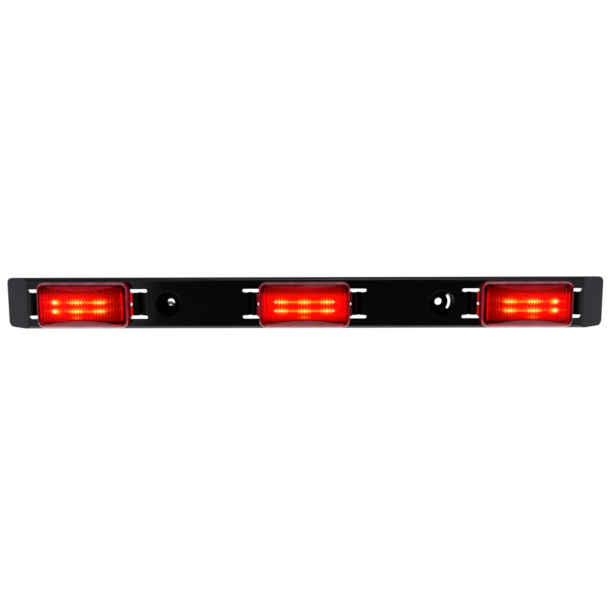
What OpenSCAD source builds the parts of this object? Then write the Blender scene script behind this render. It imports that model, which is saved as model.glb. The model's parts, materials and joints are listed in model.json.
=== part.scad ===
// Identification light bar: three snap-in LED lamps in one moulded mount bar, with the wiring inside it.
// The bar's back rim lies in the XZ plane, its front faces -Y, and +Z is up.
// Shapes are drawn lying on their back, seen from the front (x along the bar, y up the face, z out
// of the face), and facing_front() stands them up.

/* [Bar] */
// Distance from lamp centre to lamp centre
lamp_pitch = 152.4; // [127:0.1:190]
// Height of the bar at its back rim
bar_h = 35; // [29:0.5:44]
// Depth of the bar from back rim to front face
bar_d = 14; // [11.6:0.1:18]
// Thickness of the bar's walls
wall = 2; // [1.6:0.1:2.4]
// How far each long side leans in between back rim and front face
side_lean = 0.1; // [0:0.1:1.2]
// Radius of the long front edges
edge_r = 2; // [1.6:0.1:3]
// Length along the bar of each sloping end
end_run = 19.6; // [12:0.1:24]
// Radius of the fold between front face and sloping end
fold_r = 5; // [2:0.5:8]
// Corner radius of the bar's outline, seen from the front
end_corner_r = 4; // [3:0.5:6]
// Flat left between an outer slot and the fold
fold_land = 0.65; // [0.4:0.05:4]

/* [Lens] */
// Length of a lens along the bar
lens_l = 62.6; // [52:0.1:76]
// Strip of bar face left above and below a lens
lens_reveal = 1.6; // [0.4:0.1:2.4]
// Height of a lens's straight sides above the bar's face
lens_side = 7; // [5:0.1:9]
// How far the arched front stands above the straight sides, at mid length
lens_crown = 4.5; // [3:0.1:6]
// How far it stands above them at its two ends
lens_crown_end = 0.5; // [0.3:0.1:1.5]
// How far the long front bevels come in at mid length
lens_bevel = 5.4; // [3:0.1:7]
// Thickness of a lens
lens_t = 2; // [1.6:0.1:2.4]
// Corner radius of a lens, seen from the front
lens_corner_r = 5.2; // [3:0.1:6]
// Distance between the upright flutes inside a lens
flute_pitch = 1.9; // [1.6:0.1:2.6]
// Depth of a flute
flute_depth = 0.45; // [0.2:0.05:0.6]

/* [Lamp] */
// Gap between a housing and the lens around it
weld_gap = 0.1; // [0.05:0.05:0.2]
// Thickness of a housing's walls
housing_t = 1.5; // [1.2:0.1:1.8]
// How far a housing reaches up inside its lens
housing_plug = 3; // [2:0.1:4]
// Space behind a housing for the wires
wire_space = 5; // [4.6:0.1:5.6]
// Thickness of a circuit board
board_t = 1.6; // [1:0.1:2]
// How far a circuit board's front stands above the bar's face
board_rise = 0.6; // [0:0.1:1]
// Distance between the columns of light-emitting diodes
led_column_pitch = 15.6; // [12:0.1:16]
// Distance between the two rows of light-emitting diodes
led_row_pitch = 6.2; // [5:0.1:8]
// Thickness of the potting behind a board
potting_t = 2.6; // [1.6:0.1:3]

/* [Latches] */
// Length of an inner latch tongue from its root to its tip
tongue_l = 8.3; // [7:0.1:10]
// Length of an outer latch tongue, which has less room
short_tongue_l = 4.9; // [4.7:0.1:6]
// Width of a latch tongue
tongue_w = 16.1; // [13.4:0.1:17]
// Thickness of a latch tongue
tongue_t = 1.25; // [1:0.05:1.3]
// Width of the slots beside a tongue
slot_w = 2.4; // [2:0.1:3]
// Length of the flat lip at the end of an inner tongue
lip_l = 3.6; // [3:0.1:4]
// Length of the flat lip at the end of an outer tongue
short_lip_l = 2.6; // [2:0.1:2.8]
// Radius of a tongue's rounded root
root_r = 1.1; // [0.9:0.05:1.1]
// How far the lens's end ears reach out past its ends
ear_reach = 1.6; // [1.2:0.1:2]
// Thickness of an ear
ear_t = 1.8; // [1.2:0.1:2.4]
// How far a tongue's tip lies past the lens's end
tip_past_lens = 0.6; // [0.4:0.1:0.8]
// How far a housing's catch reaches past a tongue's tip
catch_bite = 0.45; // [0.3:0.05:0.5]
// Gap between a catch and the tongue in front of it
catch_gap = 0.3; // [0.2:0.05:0.4]
// Width of the release notch in ears and tongues
notch_w = 1.9; // [1.4:0.1:5]

/* [Mounting] */
// Diameter of a mounting hole
screw_d = 5.2; // [4.6:0.1:6]
// Diameter of the pocket in front of a mounting hole
pocket_d = 18; // [16:0.1:20]
// Thickness of a pocket's wall
pocket_t = 1.6; // [1.2:0.1:2]
// Thickness of a pocket's floor
floor_t = 2.2; // [2:0.1:3]
// Gap between a pocket's wall and the nearest slot
pocket_gap = 3.55; // [2:0.05:8]
// Half angle of the terminal slot beside a mounting hole
arc_half_angle = 32; // [24:1:44]

/* [Wiring] */
// Diameter of a wire over its insulation
wire_d = 2.2; // [1.8:0.1:2.3]
// Diameter of a crimped splice
splice_d = 3.8; // [3.4:0.1:4]
// Gap around a wire in a hole or sleeve
wire_gap = 0.1; // [0.05:0.05:0.15]

/* [Hidden] */
$fn = 48;
lean_in = side_lean / bar_d;
face_h = bar_h - 2 * side_lean;
seat_gap = 0.1;            // lens skirt above the bar's face
tongue_drop = 0.1;         // tongue lip below the bar's face
hinge_gap = 0.1;           // rounded root to the plate behind it
through = 1;               // how far a cutter runs past what it cuts

// Lamp and latch places, from the lamp's own centre
lens_h = face_h - 2 * lens_reveal;
tip_x = lens_l / 2 + tip_past_lens;
root_x = tip_x + tongue_l;
short_root_x = tip_x + short_tongue_l;
slot_y = (tongue_w + slot_w) / 2;
slot_past_root = root_r + hinge_gap + slot_w * 0.73;
slot_end = root_x + slot_past_root;
short_slot_end = short_root_x + slot_past_root;
lip_z = bar_d - tongue_drop;
lip_under_z = lip_z - tongue_t;
root_z = lip_under_z + 0.05;
ear_z = bar_d + 0.2;
ear_w = 2 * slot_y - 1.3;

// Bar
face_half = lamp_pitch + short_slot_end + fold_land;
bar_l = 2 * (face_half + end_run);
cup_r = pocket_d / 2 + pocket_t;
hole_x = lamp_pitch - (slot_end + pocket_gap + cup_r);

// Lamp housing and what is in it
housing_l = lens_l - 2 * (lens_t + weld_gap);
housing_h = lens_h - 2 * (lens_t + weld_gap);
housing_r = max(lens_corner_r - lens_t - weld_gap, 0.8);
window_gap = 0.3;
window_l = housing_l + 2;
window_h = housing_h + 2 * window_gap;
board_gap = 0.25;
board_l = housing_l - 2 * (housing_t + board_gap);
board_h = housing_h - 2 * (housing_t + board_gap);
board_top = bar_d + board_rise;
board_bottom = board_top - board_t;
board_r = max(housing_r - housing_t - board_gap, 0.5);
floor_in = wire_space + housing_t;
led_size = 3.4;
led_t = 1.1;
led_dome_r = 1.35;

// Catches
catch_z = lip_under_z - catch_gap;
catch_w = 4;
catch_h = 4;
catch_y = notch_w / 2 + 0.7 + catch_w / 2;

// Wiring: two trunks along the bar, one near each long side
trunk_inset = 4.3;
trunk_y = bar_h / 2 - trunk_inset;
trunk_z = 2.4;
lead_x = 10;
lead_y = 4.5;
lead_bend = 2.6;
lead_in = 0.1;             // end of a lead below the potting's front
splice_l = 9;
trunk_end = lamp_pitch + lead_x + splice_l;
bore_r = wire_d / 2 + wire_gap;
tail_x = lead_x + splice_l + 8;  // where the supply tail leaves the hot trunk
socket_l = 20;
socket_d = 5;
socket_x = hole_x - cup_r - 3 - socket_l;
socket_y = min(6.5, trunk_y - 5.5);
socket_z = 3.3;
tail_run = socket_x - tail_x;
arc_in_r = screw_d / 2 + 4;
arc_out_r = pocket_d / 2 - 0.2;
ring_r = 4.9;
ring_t = 0.8;
recess_t = ring_t + 0.2;
hang_x = -1.8;             // where the ring can hang until the screw centres it
hang_y = -4.3;
neck_w = 2.8;
barrel_d = 3;
barrel_l = 5;
barrel_x = cup_r + 1.4;    // start of the barrel, from the screw's centre
barrel_z = 0.1 + barrel_d / 2;
tail_splice_x = -(hole_x - barrel_x - barrel_l - 9);
tab_l = 5;
tab_gap = 1.5;             // a wire tab to the splice beside it
tab_places = [
    slot_end + 4,
    hole_x + cup_r + 11,
    lamp_pitch - lead_x - splice_l / 2 - tab_gap - tab_l / 2
];

sides = ["left", "centre", "right"];

// ---------- helpers ----------

// Stands a shape up so that its z points out of the bar's front.
module facing_front() {
    rotate([90, 0, 0]) children();
}

function unit(v) = v / norm(v);
function corner_half_angle(p, a, b) = acos(unit(a - p) * unit(b - p)) / 2;
function corner_centre(p, a, b, r) =
    p + unit(unit(a - p) + unit(b - p)) * r / sin(corner_half_angle(p, a, b));
function corner_tangent(p, a, b, r) = p + unit(a - p) * r / tan(corner_half_angle(p, a, b));

// A convex outline with a radius at each corner; a radius of 0 leaves the corner sharp.
module rounded_outline(points, radii) {
    n = len(points);
    before = [for (i = [0:n - 1]) points[(i + n - 1) % n]];
    after = [for (i = [0:n - 1]) points[(i + 1) % n]];
    polygon([
        for (i = [0:n - 1]) each radii[i] > 0
            ? [corner_tangent(points[i], before[i], after[i], radii[i]),
               corner_tangent(points[i], after[i], before[i], radii[i])]
            : [points[i]]
    ]);
    for (i = [0:n - 1]) if (radii[i] > 0)
        translate(corner_centre(points[i], before[i], after[i], radii[i])) circle(radii[i]);
}

module rounded_rectangle(l, h, r) {
    rounded_outline([[-l / 2, -h / 2], [l / 2, -h / 2], [l / 2, h / 2], [-l / 2, h / 2]], [r, r, r, r]);
}

// A box centred in x and y, from z0 to z1.
module slab(l, h, z0, z1) {
    translate([-l / 2, -h / 2, z0]) cube([l, h, z1 - z0]);
}

// Runs a y-z outline along x, centred.
module along_x(l) {
    rotate([90, 0, 90]) linear_extrude(l, center = true) children();
}

// Runs an x-z outline along y, centred.
module along_y(l) {
    rotate([90, 0, 0]) linear_extrude(l, center = true) children();
}

// Smooth route through points: a Catmull-Rom curve with steps stretches between each pair.
function route_point(p, i, t) =
    let (a = p[max(i - 1, 0)], b = p[i], c = p[i + 1], d = p[min(i + 2, len(p) - 1)])
    0.5 * (2 * b + (c - a) * t + (2 * a - 5 * b + 4 * c - d) * t * t + (3 * b - a - 3 * c + d) * t * t * t);
function smooth_route(p, steps) = concat(
    [for (i = [0:len(p) - 2]) for (s = [0:steps - 1]) route_point(p, i, s / steps)],
    [p[len(p) - 1]]
);
function direction(p, i) = unit(p[min(i + 1, len(p) - 1)] - p[max(i - 1, 0)]);
function carried_normals(p, i, n) =
    i == len(p) ? [] :
    let (t = direction(p, i), m = unit(n - (n * t) * t)) concat([m], carried_normals(p, i + 1, m));

// A round wire swept along a route, with flat ends.
module wire(points, steps = 6, ring_sides = 10) {
    p = smooth_route(points, steps);
    last = len(p) - 1;
    start = cross(direction(p, 0), [0.31, 0.2, 0.93]);
    normals = carried_normals(p, 0, start);
    rings = [
        for (i = [0:last]) let (n = normals[i], b = cross(direction(p, i), n))
            for (k = [0:ring_sides - 1])
                p[i] + wire_d / 2 * (cos(360 * k / ring_sides) * n + sin(360 * k / ring_sides) * b)
    ];
    skin = [
        for (i = [0:last - 1]) for (k = [0:ring_sides - 1])
            let (a = i * ring_sides + k, b = i * ring_sides + (k + 1) % ring_sides)
            each [[a, a + ring_sides, b], [b, a + ring_sides, b + ring_sides]]
    ];
    caps = [
        [for (k = [0:ring_sides - 1]) k],
        [for (k = [ring_sides - 1:-1:0]) last * ring_sides + k]
    ];
    polyhedron(rings, concat(skin, caps));
}

// ---------- mount bar ----------

// The bar's outer form, or with an inset the hollow inside it, which runs out through the back.
module bar_form(inset) {
    bottom = inset > 0 ? -through : 0;
    top = bar_d - inset;
    half_bottom = bar_h / 2 - inset - bottom * lean_in;
    half_top = bar_h / 2 - inset - top * lean_in;
    slope = end_run / bar_d;
    end_inset = inset * sqrt(1 + slope * slope);
    end_bottom = bar_l / 2 - end_inset - bottom * slope;
    end_top = bar_l / 2 - end_inset - top * slope;
    r = max(edge_r - inset, 0.6);
    intersection() {
        along_x(bar_l + 4 * through) rounded_outline(
            [[-half_bottom, bottom], [half_bottom, bottom], [half_top, top], [-half_top, top]],
            [0, 0, r, r]
        );
        along_y(bar_h + 4 * through) rounded_outline(
            [[-end_bottom, bottom], [end_bottom, bottom], [end_top, top], [-end_top, top]],
            [0, 0, fold_r, fold_r]
        );
        translate([0, 0, bottom]) linear_extrude(top - bottom) rounded_rectangle(
            bar_l - 2 * inset - 2 * bottom * slope,
            bar_h - 2 * inset - 2 * bottom * lean_in,
            max(end_corner_r - inset, 1)
        );
    }
}

// Window for one lamp, with the open bays of its latch tongues.
// root_left and root_right are the distances from the lamp's centre to each tongue's root.
module lamp_window(root_left, root_right) {
    slab_z = bar_d - wall - through;
    bay_h = tongue_w + 2 * slot_w;
    translate([0, 0, slab_z]) linear_extrude(wall + 2 * through) {
        rounded_rectangle(window_l, window_h, housing_r + window_gap);
        for (side = [-1, 1]) {
            root = side < 0 ? root_left : root_right;
            edge = root + root_r + hinge_gap;
            far = root + slot_past_root - slot_w / 2;
            scale_side = side < 0 ? 180 : 0;
            rotate(scale_side) {
                translate([0, -bay_h / 2]) square([edge, bay_h]);
                for (y = [-slot_y, slot_y]) {
                    translate([0, y - slot_w / 2]) square([far, slot_w]);
                    translate([far, y]) circle(slot_w / 2);
                }
            }
        }
    }
}

module pocket_wall() {
    cylinder(h = bar_d - wall / 2, r = cup_r);
}

module pocket_cut() {
    translate([0, 0, floor_t]) cylinder(h = bar_d, d = pocket_d);
    translate([0, 0, -through]) cylinder(h = floor_t + 2 * through, d = screw_d);
}

// Arc-shaped slot for a terminal's tongue in the right pocket's floor, on the side of the bar's end.
module terminal_slot() {
    mid_r = (arc_in_r + arc_out_r) / 2;
    half_w = (arc_out_r - arc_in_r) / 2;
    translate([0, 0, -through]) {
        rotate(-arc_half_angle)
            rotate_extrude(angle = 2 * arc_half_angle)
                translate([arc_in_r, 0]) square([2 * half_w, floor_t + 2 * through]);
        for (turn = [-arc_half_angle, arc_half_angle])
            rotate(turn) translate([mid_r, 0, 0]) cylinder(h = floor_t + 2 * through, r = half_w);
    }
}

// Seat behind the left mounting hole, wide enough for the ground terminal's ring where it hangs and where
// the screw centres it, with a way out for its neck.
module terminal_seat() {
    seat_r = ring_r + 0.4;
    depth = recess_t + through;
    translate([0, 0, -through]) {
        for (place = [[0, 0], [hang_x, hang_y]]) translate(place) cylinder(h = depth, r = seat_r);
        rotate(atan2(hang_y, hang_x)) translate([0, -seat_r, 0])
            cube([norm([hang_x, hang_y]), 2 * seat_r, depth]);
        translate([0, hang_y - neck_w / 2 - 0.4, 0])
            cube([cup_r + through, neck_w + 0.8 - hang_y, depth]);
    }
}

// Tabs that keep one trunk wire against a long side; each is a small shelf behind the wire.
module wire_tabs() {
    tab_reach = trunk_inset + wire_d / 2 - wall - 1.1;
    for (half = [-1, 1], place = tab_places, side = [-1, 1])
        translate([half * place - tab_l / 2,
                   side > 0 ? bar_h / 2 - wall - tab_reach : -bar_h / 2 + wall - 0.4, 0])
            cube([tab_l, tab_reach + 0.4, 1.1]);
}

// Ribs across the hollow, on the back of the front plate.
module cross_ribs() {
    rib_t = 1.4;
    rib_h = bar_d - wall - wire_space - 1;
    inner_h = bar_h - 2 * wall;
    near_centre = slot_end + 5;
    near_cup = hole_x - cup_r - 3;
    mid_rib = (near_centre + near_cup) / 2;
    for (side = [-1, 1], x = [near_centre, mid_rib, near_cup])
        translate([side * x, 0, 0]) slab(rib_t, inner_h, bar_d - wall - rib_h, bar_d - wall / 2);
}

// Wall stretches round the hollow, kept inside the bar's outer form.
module bar_insides() {
    intersection() {
        bar_form(0);
        union() {
            for (side = [-1, 1]) translate([side * hole_x, 0, 0]) pocket_wall();
            wire_tabs();
            cross_ribs();
        }
    }
}

module mount_bar() {
    color("#17161a") facing_front() difference() {
        union() {
            difference() {
                bar_form(0);
                bar_form(wall);
            }
            bar_insides();
        }
        translate([-lamp_pitch, 0, 0]) lamp_window(short_root_x, root_x);
        lamp_window(root_x, root_x);
        translate([lamp_pitch, 0, 0]) lamp_window(root_x, short_root_x);
        for (side = [-1, 1]) translate([side * hole_x, 0, 0]) pocket_cut();
        translate([hole_x, 0, 0]) terminal_slot();
        translate([-hole_x, 0, 0]) terminal_seat();
    }
}

// ---------- latch tongues ----------

// One tongue, its tip towards the lamp on the left of it: a flat lip, a V-shaped spring and a rounded root.
module tongue(root, lip) {
    spring_w = root - tip_x - lip;
    dip = 0.7 * spring_w;
    low_x = root - spring_w * 0.47;
    chamfer = 1.8;
    difference() {
        union() {
            along_y(tongue_w) polygon([
                [tip_x, lip_under_z], [tip_x, lip_z], [tip_x + lip, lip_z],
                [low_x, lip_z - dip], [root, root_z + root_r],
                [root, root_z - root_r * 0.5],
                [low_x, lip_under_z - dip - 0.3], [tip_x + lip - 0.4, lip_under_z]
            ]);
            translate([root, 0, root_z]) rotate([90, 0, 0])
                cylinder(h = tongue_w, r = root_r, center = true);
        }
        translate([tip_x, 0, 0]) slab(2 * (ear_reach - tip_past_lens + 0.2), notch_w, 0, bar_d + through);
        for (side = [-1, 1]) translate([tip_x, side * tongue_w / 2, 0])
            rotate(45) slab(chamfer, chamfer, 0, bar_d + through);
    }
}

module latch(lamp, side, root, lip) {
    color("#141316") facing_front() translate([lamp * lamp_pitch, 0, 0])
        rotate(side < 0 ? 180 : 0) tongue(root, lip);
}

// ---------- lens ----------

function arch_radius(half, rise) = (half * half + rise * rise) / (2 * rise);
// Height of the arched front above the bar's face at x, lowered by drop.
function arch_z(x, drop) =
    let (r = arch_radius(lens_l / 2, lens_crown - lens_crown_end))
    bar_d + lens_side + lens_crown - r + sqrt(r * r - x * x) - drop;

// Sides and long bevels of a lens, shrunk by inset; it starts at z0.
module lens_sides(inset, z0) {
    half = lens_h / 2 - inset;
    side_z = bar_d + lens_side - inset * 0.4;
    top_z = bar_d + lens_side + lens_crown - inset + 1;
    bevel = lens_bevel * (top_z - side_z) / lens_crown;
    intersection() {
        translate([0, 0, z0]) linear_extrude(top_z - z0) rounded_rectangle(
            lens_l - 2 * inset, lens_h - 2 * inset, max(lens_corner_r - inset, 1)
        );
        along_x(lens_l + 2 * through) polygon([
            [-half, z0 - through], [half, z0 - through], [half, side_z],
            [half - bevel, top_z], [bevel - half, top_z], [-half, side_z]
        ]);
    }
}

module lens_outside() {
    r = arch_radius(lens_l / 2, lens_crown - lens_crown_end);
    intersection() {
        lens_sides(0, bar_d + seat_gap);
        translate([0, 0, bar_d + lens_side + lens_crown - r]) rotate([90, 0, 0])
            cylinder(h = lens_h + 2 * through, r = r, center = true, $fn = 200);
    }
}

// The hollow of a lens, with upright flutes in its front.
module lens_hollow() {
    half = lens_l / 2 - lens_t;
    count = floor(half / flute_pitch);
    intersection() {
        lens_sides(lens_t, bar_d - through);
        along_y(lens_h) polygon(concat(
            [[-half - through, bar_d - through], [half + through, bar_d - through],
             [half + through, arch_z(half, lens_t)]],
            [for (i = [count:-1:-count]) each [
                [(i + 0.5) * flute_pitch, arch_z(i * flute_pitch, lens_t)],
                [i * flute_pitch, arch_z(i * flute_pitch, lens_t + flute_depth)]
            ]],
            [[-(count + 0.5) * flute_pitch, arch_z(half, lens_t)],
             [-half - through, arch_z(half, lens_t)]]
        ));
    }
}

module lens_ears() {
    for (turn = [0, 180]) rotate(turn) difference() {
        translate([lens_l / 2 - lens_t / 2, -ear_w / 2, ear_z])
            cube([lens_t / 2 + ear_reach, ear_w, ear_t]);
        translate([lens_l / 2, -notch_w / 2, ear_z - through])
            cube([ear_reach + through, notch_w, ear_t + 2 * through]);
    }
}

module lens(lamp) {
    color("#c80f14") facing_front() translate([lamp * lamp_pitch, 0, 0]) difference() {
        union() {
            lens_outside();
            lens_ears();
        }
        lens_hollow();
    }
}

// ---------- lamp housing and its electronics ----------

module catch_rib(y) {
    translate([0, y, 0]) along_y(catch_w) polygon([
        [housing_l / 2 - housing_t / 2, catch_z],
        [tip_x + catch_bite, catch_z],
        [tip_x + catch_bite, catch_z - 0.8],
        [housing_l / 2 - housing_t / 2, catch_z - catch_h]
    ]);
}

module board_posts(height_z, d) {
    for (x = [-1, 1], y = [-1, 1])
        translate([x * (board_l / 2 - 3), y * (board_h / 2 - 2.6), floor_in - 0.4])
            cylinder(h = height_z - floor_in + 0.4, d = d);
}

module housing(lamp) {
    color("#1b1a1d") facing_front() translate([lamp * lamp_pitch, 0, 0]) difference() {
        union() {
            difference() {
                translate([0, 0, wire_space]) linear_extrude(bar_d + housing_plug - wire_space)
                    rounded_rectangle(housing_l, housing_h, housing_r);
                translate([0, 0, floor_in]) linear_extrude(bar_d + housing_plug)
                    rounded_rectangle(housing_l - 2 * housing_t, housing_h - 2 * housing_t,
                                      max(housing_r - housing_t, 0.4));
            }
            for (turn = [0, 180], y = [-catch_y, catch_y]) rotate(turn) catch_rib(y);
            board_posts(board_bottom, 3);
        }
        for (y = [-lead_y, lead_y]) translate([lead_x, y, wire_space - through])
            cylinder(h = housing_t + 2 * through, r = bore_r);
    }
}

module circuit_board(lamp) {
    color("#e9e7dc") facing_front() translate([lamp * lamp_pitch, 0, board_bottom])
        linear_extrude(board_t) rounded_rectangle(board_l, board_h, board_r);
}

module leds(lamp) {
    color("#ffd9b0") facing_front() translate([lamp * lamp_pitch, 0, board_top])
        for (column = [-1, 0, 1], row = [-0.5, 0.5])
            translate([column * led_column_pitch, row * led_row_pitch, 0]) {
                slab(led_size, led_size, 0, led_t);
                translate([0, 0, led_t - 0.3]) intersection() {
                    sphere(led_dome_r);
                    slab(led_size, led_size, 0, led_size);
                }
            }
}

// Chip resistors and the bridge rectifier on the back of a board.
module resistors(lamp) {
    color("#26262a") facing_front() translate([lamp * lamp_pitch, 0, board_bottom]) {
        for (column = [-1, 0, 1]) translate([column * led_column_pitch - 3, 3.5, 0])
            slab(3.2, 1.6, -0.6, 0);
        translate([-6, -4.5, 0]) slab(4.7, 3.9, -1.3, 0);
    }
}

// Epoxy poured on the housing's floor round the two leads, clear of the board posts.
module potting(lamp) {
    rim = 0.1;
    color("#2a2a2c") facing_front() translate([lamp * lamp_pitch, 0, 0]) difference() {
        translate([0, 0, floor_in]) linear_extrude(potting_t) rounded_rectangle(
            housing_l - 2 * (housing_t + rim), housing_h - 2 * (housing_t + rim),
            max(housing_r - housing_t - rim, 0.4)
        );
        for (y = [-lead_y, lead_y]) translate([lead_x, y, 0]) cylinder(h = bar_d, r = bore_r);
        board_posts(bar_d, 3.2);
    }
}

// ---------- wiring ----------

// A lead leaves the potting straight back, bends and meets its splice. side is 1 for hot, -1 for ground.
module lead(lamp, side) {
    reach = trunk_y - splice_d / 2 - lead_y - lead_bend;
    top = floor_in + potting_t - lead_in;
    translate([lamp * lamp_pitch + lead_x, side * lead_y, 0]) rotate(side > 0 ? 90 : -90) {
        translate([0, 0, trunk_z + lead_bend]) cylinder(h = top - trunk_z - lead_bend, d = wire_d);
        translate([lead_bend, 0, trunk_z + lead_bend]) rotate([90, 0, 180])
            rotate_extrude(angle = -90) translate([lead_bend, 0]) circle(d = wire_d);
        translate([lead_bend, 0, trunk_z]) rotate([0, 90, 0])
            cylinder(h = reach - wire_gap, d = wire_d);
    }
}

module trunk(side) {
    translate([-trunk_end, side * trunk_y, trunk_z]) rotate([0, 90, 0])
        cylinder(h = 2 * trunk_end, d = wire_d);
}

module splice(x, side) {
    translate([x - splice_l / 2, side * trunk_y, trunk_z]) rotate([0, 90, 0]) difference() {
        cylinder(h = splice_l, d = splice_d);
        translate([0, 0, -through]) cylinder(h = splice_l + 2 * through, r = bore_r);
    }
}

// The supply tail dips towards the bar's middle, so that it crosses behind a tongue and not behind a slot.
tail_dip_y = socket_y - 2.5;
hot_tail_route = [
    [tail_x, trunk_y - splice_d / 2 - wire_gap, trunk_z],
    [tail_x, trunk_y - splice_d / 2 - 2, trunk_z],
    [tail_x + 1.5, tail_dip_y + 1.7, trunk_z],
    [tail_x + 5.5, tail_dip_y, trunk_z],
    [tail_x + 0.5 * tail_run, tail_dip_y + 0.3, trunk_z + 0.3],
    [socket_x - 4, socket_y, socket_z],
    [socket_x - wire_gap, socket_y, socket_z]
];
barrel_end = -hole_x + barrel_x + barrel_l;
ground_tail_route = [
    [barrel_end + wire_gap, 0, barrel_z],
    [barrel_end + 0.9, 0, barrel_z],
    [barrel_end + 1.7, 0, barrel_z],
    [tail_splice_x - 3.4, -2.6, trunk_z - 0.3],
    [tail_splice_x - 0.3, -trunk_y + splice_d / 2 + 2.2, trunk_z],
    [tail_splice_x, -trunk_y + splice_d / 2 + wire_gap, trunk_z]
];

// Insulated bullet socket that takes the vehicle's feed.
module supply_socket() {
    color("#111113") facing_front() translate([socket_x, socket_y, socket_z]) rotate([0, 90, 0])
        difference() {
            union() {
                cylinder(h = 4, d1 = 3.4, d2 = socket_d);
                translate([0, 0, 4]) cylinder(h = socket_l - 4, d = socket_d);
            }
            translate([0, 0, 7]) cylinder(h = socket_l, d = 3.96);
        }
}

module ground_ring_terminal() {
    color("#c9c4b4") facing_front() translate([-hole_x, 0, 0]) {
        translate([0, 0, 0.1]) difference() {
            union() {
                cylinder(h = ring_t, r = ring_r);
                translate([ring_r - 0.5, -neck_w / 2, 0])
                    cube([barrel_x - ring_r + 1.2, neck_w, ring_t]);
            }
            translate([0, 0, -through]) cylinder(h = ring_t + 2 * through, d = screw_d);
        }
        translate([barrel_x, 0, barrel_z]) rotate([0, 90, 0])
            cylinder(h = barrel_l, d = barrel_d);
    }
}

// ---------- the nodes ----------

mount_bar();
latch(-1, -1, short_root_x, short_lip_l);  // latch_left_outer
latch(-1, 1, root_x, lip_l);  // latch_left_inner
latch(0, -1, root_x, lip_l);  // latch_centre_left
latch(0, 1, root_x, lip_l);  // latch_centre_right
latch(1, -1, root_x, lip_l);  // latch_right_inner
latch(1, 1, short_root_x, short_lip_l);  // latch_right_outer
for (i = [0:2]) {
    lamp = i - 1;
    lens(lamp);
    housing(lamp);
    circuit_board(lamp);
    leds(lamp);
    resistors(lamp);
    potting(lamp);
    color("#1c1c1e") facing_front() lead(lamp, 1);
    color("#e8e8e4") facing_front() lead(lamp, -1);
}
color("#1c1c1e") facing_front() trunk(1);  // hot_trunk
color("#e8e8e4") facing_front() trunk(-1);  // ground_trunk
color("#b3262b") facing_front() {  // hot_splices
    for (lamp = [-1, 0, 1]) splice(lamp * lamp_pitch + lead_x, 1);
    splice(tail_x, 1);
}
color("#b3262b") facing_front() {  // ground_splices
    for (lamp = [-1, 0, 1]) splice(lamp * lamp_pitch + lead_x, -1);
    splice(tail_splice_x, -1);
}
color("#1c1c1e") facing_front() wire(hot_tail_route);  // hot_tail
supply_socket();
color("#e8e8e4") facing_front() wire(ground_tail_route);  // ground_tail
ground_ring_terminal();
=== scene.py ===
"""Looks of an identification light bar: snap-in red lamps, lit, in a gloss black mount bar.

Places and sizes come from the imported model. Shapes are worked out in the bar's own axes, with x along the
bar, y up its face and z out of its face, and to_frame() turns them into the frame's axes.
"""

from __future__ import annotations

import json
import logging
import math
from collections.abc import Callable, Sequence
from dataclasses import dataclass
from enum import Enum

import bmesh
import bpy
import numpy as np
from mathutils import Matrix, Vector


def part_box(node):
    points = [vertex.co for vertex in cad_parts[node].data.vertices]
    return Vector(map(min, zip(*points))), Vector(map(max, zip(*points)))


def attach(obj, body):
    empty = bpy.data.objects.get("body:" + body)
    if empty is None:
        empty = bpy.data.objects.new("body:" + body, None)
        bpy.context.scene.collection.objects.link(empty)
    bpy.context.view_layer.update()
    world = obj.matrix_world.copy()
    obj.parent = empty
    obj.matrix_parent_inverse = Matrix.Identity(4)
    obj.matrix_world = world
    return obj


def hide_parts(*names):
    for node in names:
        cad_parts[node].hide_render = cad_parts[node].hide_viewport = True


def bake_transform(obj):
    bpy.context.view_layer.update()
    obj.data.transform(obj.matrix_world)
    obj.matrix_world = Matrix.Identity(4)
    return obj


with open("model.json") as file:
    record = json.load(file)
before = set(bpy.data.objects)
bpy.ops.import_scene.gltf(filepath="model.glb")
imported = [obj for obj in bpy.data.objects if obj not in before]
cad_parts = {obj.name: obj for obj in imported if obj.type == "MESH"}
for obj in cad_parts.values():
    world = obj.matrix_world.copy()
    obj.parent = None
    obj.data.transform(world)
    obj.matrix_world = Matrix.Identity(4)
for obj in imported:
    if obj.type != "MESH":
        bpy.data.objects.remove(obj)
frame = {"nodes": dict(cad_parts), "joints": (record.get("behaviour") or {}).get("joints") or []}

Array = np.ndarray
Socket = bpy.types.NodeSocket
Colour = tuple[float, float, float]
MM = 0.001
QUARTER = math.pi / 2
LAMP_PLACE = "lamp_place"
LOG = logging.getLogger("light_bar")


class Lamp(Enum):
    """The lamps of the bar, each with the side that it is on as seen from the front."""

    LEFT = ("left", -1)
    CENTRE = ("centre", 0)
    RIGHT = ("right", 1)

    @property
    def label(self) -> str:
        """Word that ends the names of this lamp's nodes."""
        return self.value[0]

    @property
    def lean(self) -> int:
        """Which way the bar's nearer end lies: -1, 0 or 1."""
        return self.value[1]


class Pole(Enum):
    """The two sides of the circuit, each with the long side of the bar that its trunk wire lies along."""

    HOT = ("hot", 1)
    GROUND = ("ground", -1)

    @property
    def label(self) -> str:
        """Word that starts the names of this pole's nodes."""
        return self.value[0]

    @property
    def side(self) -> int:
        """1 for the upper long side, -1 for the lower one."""
        return self.value[1]


# ---------- shapes ----------


def to_frame(points: Array) -> Array:
    """Turns points from the bar's axes into the frame's.

    Args:
        points: array whose last axis is x, y, z in the bar's axes.

    Returns:
        The same points, where the bar's y is the frame's Z and its z is the frame's -Y.
    """
    return np.stack([points[..., 0], -points[..., 2], points[..., 1]], axis=-1)


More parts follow.
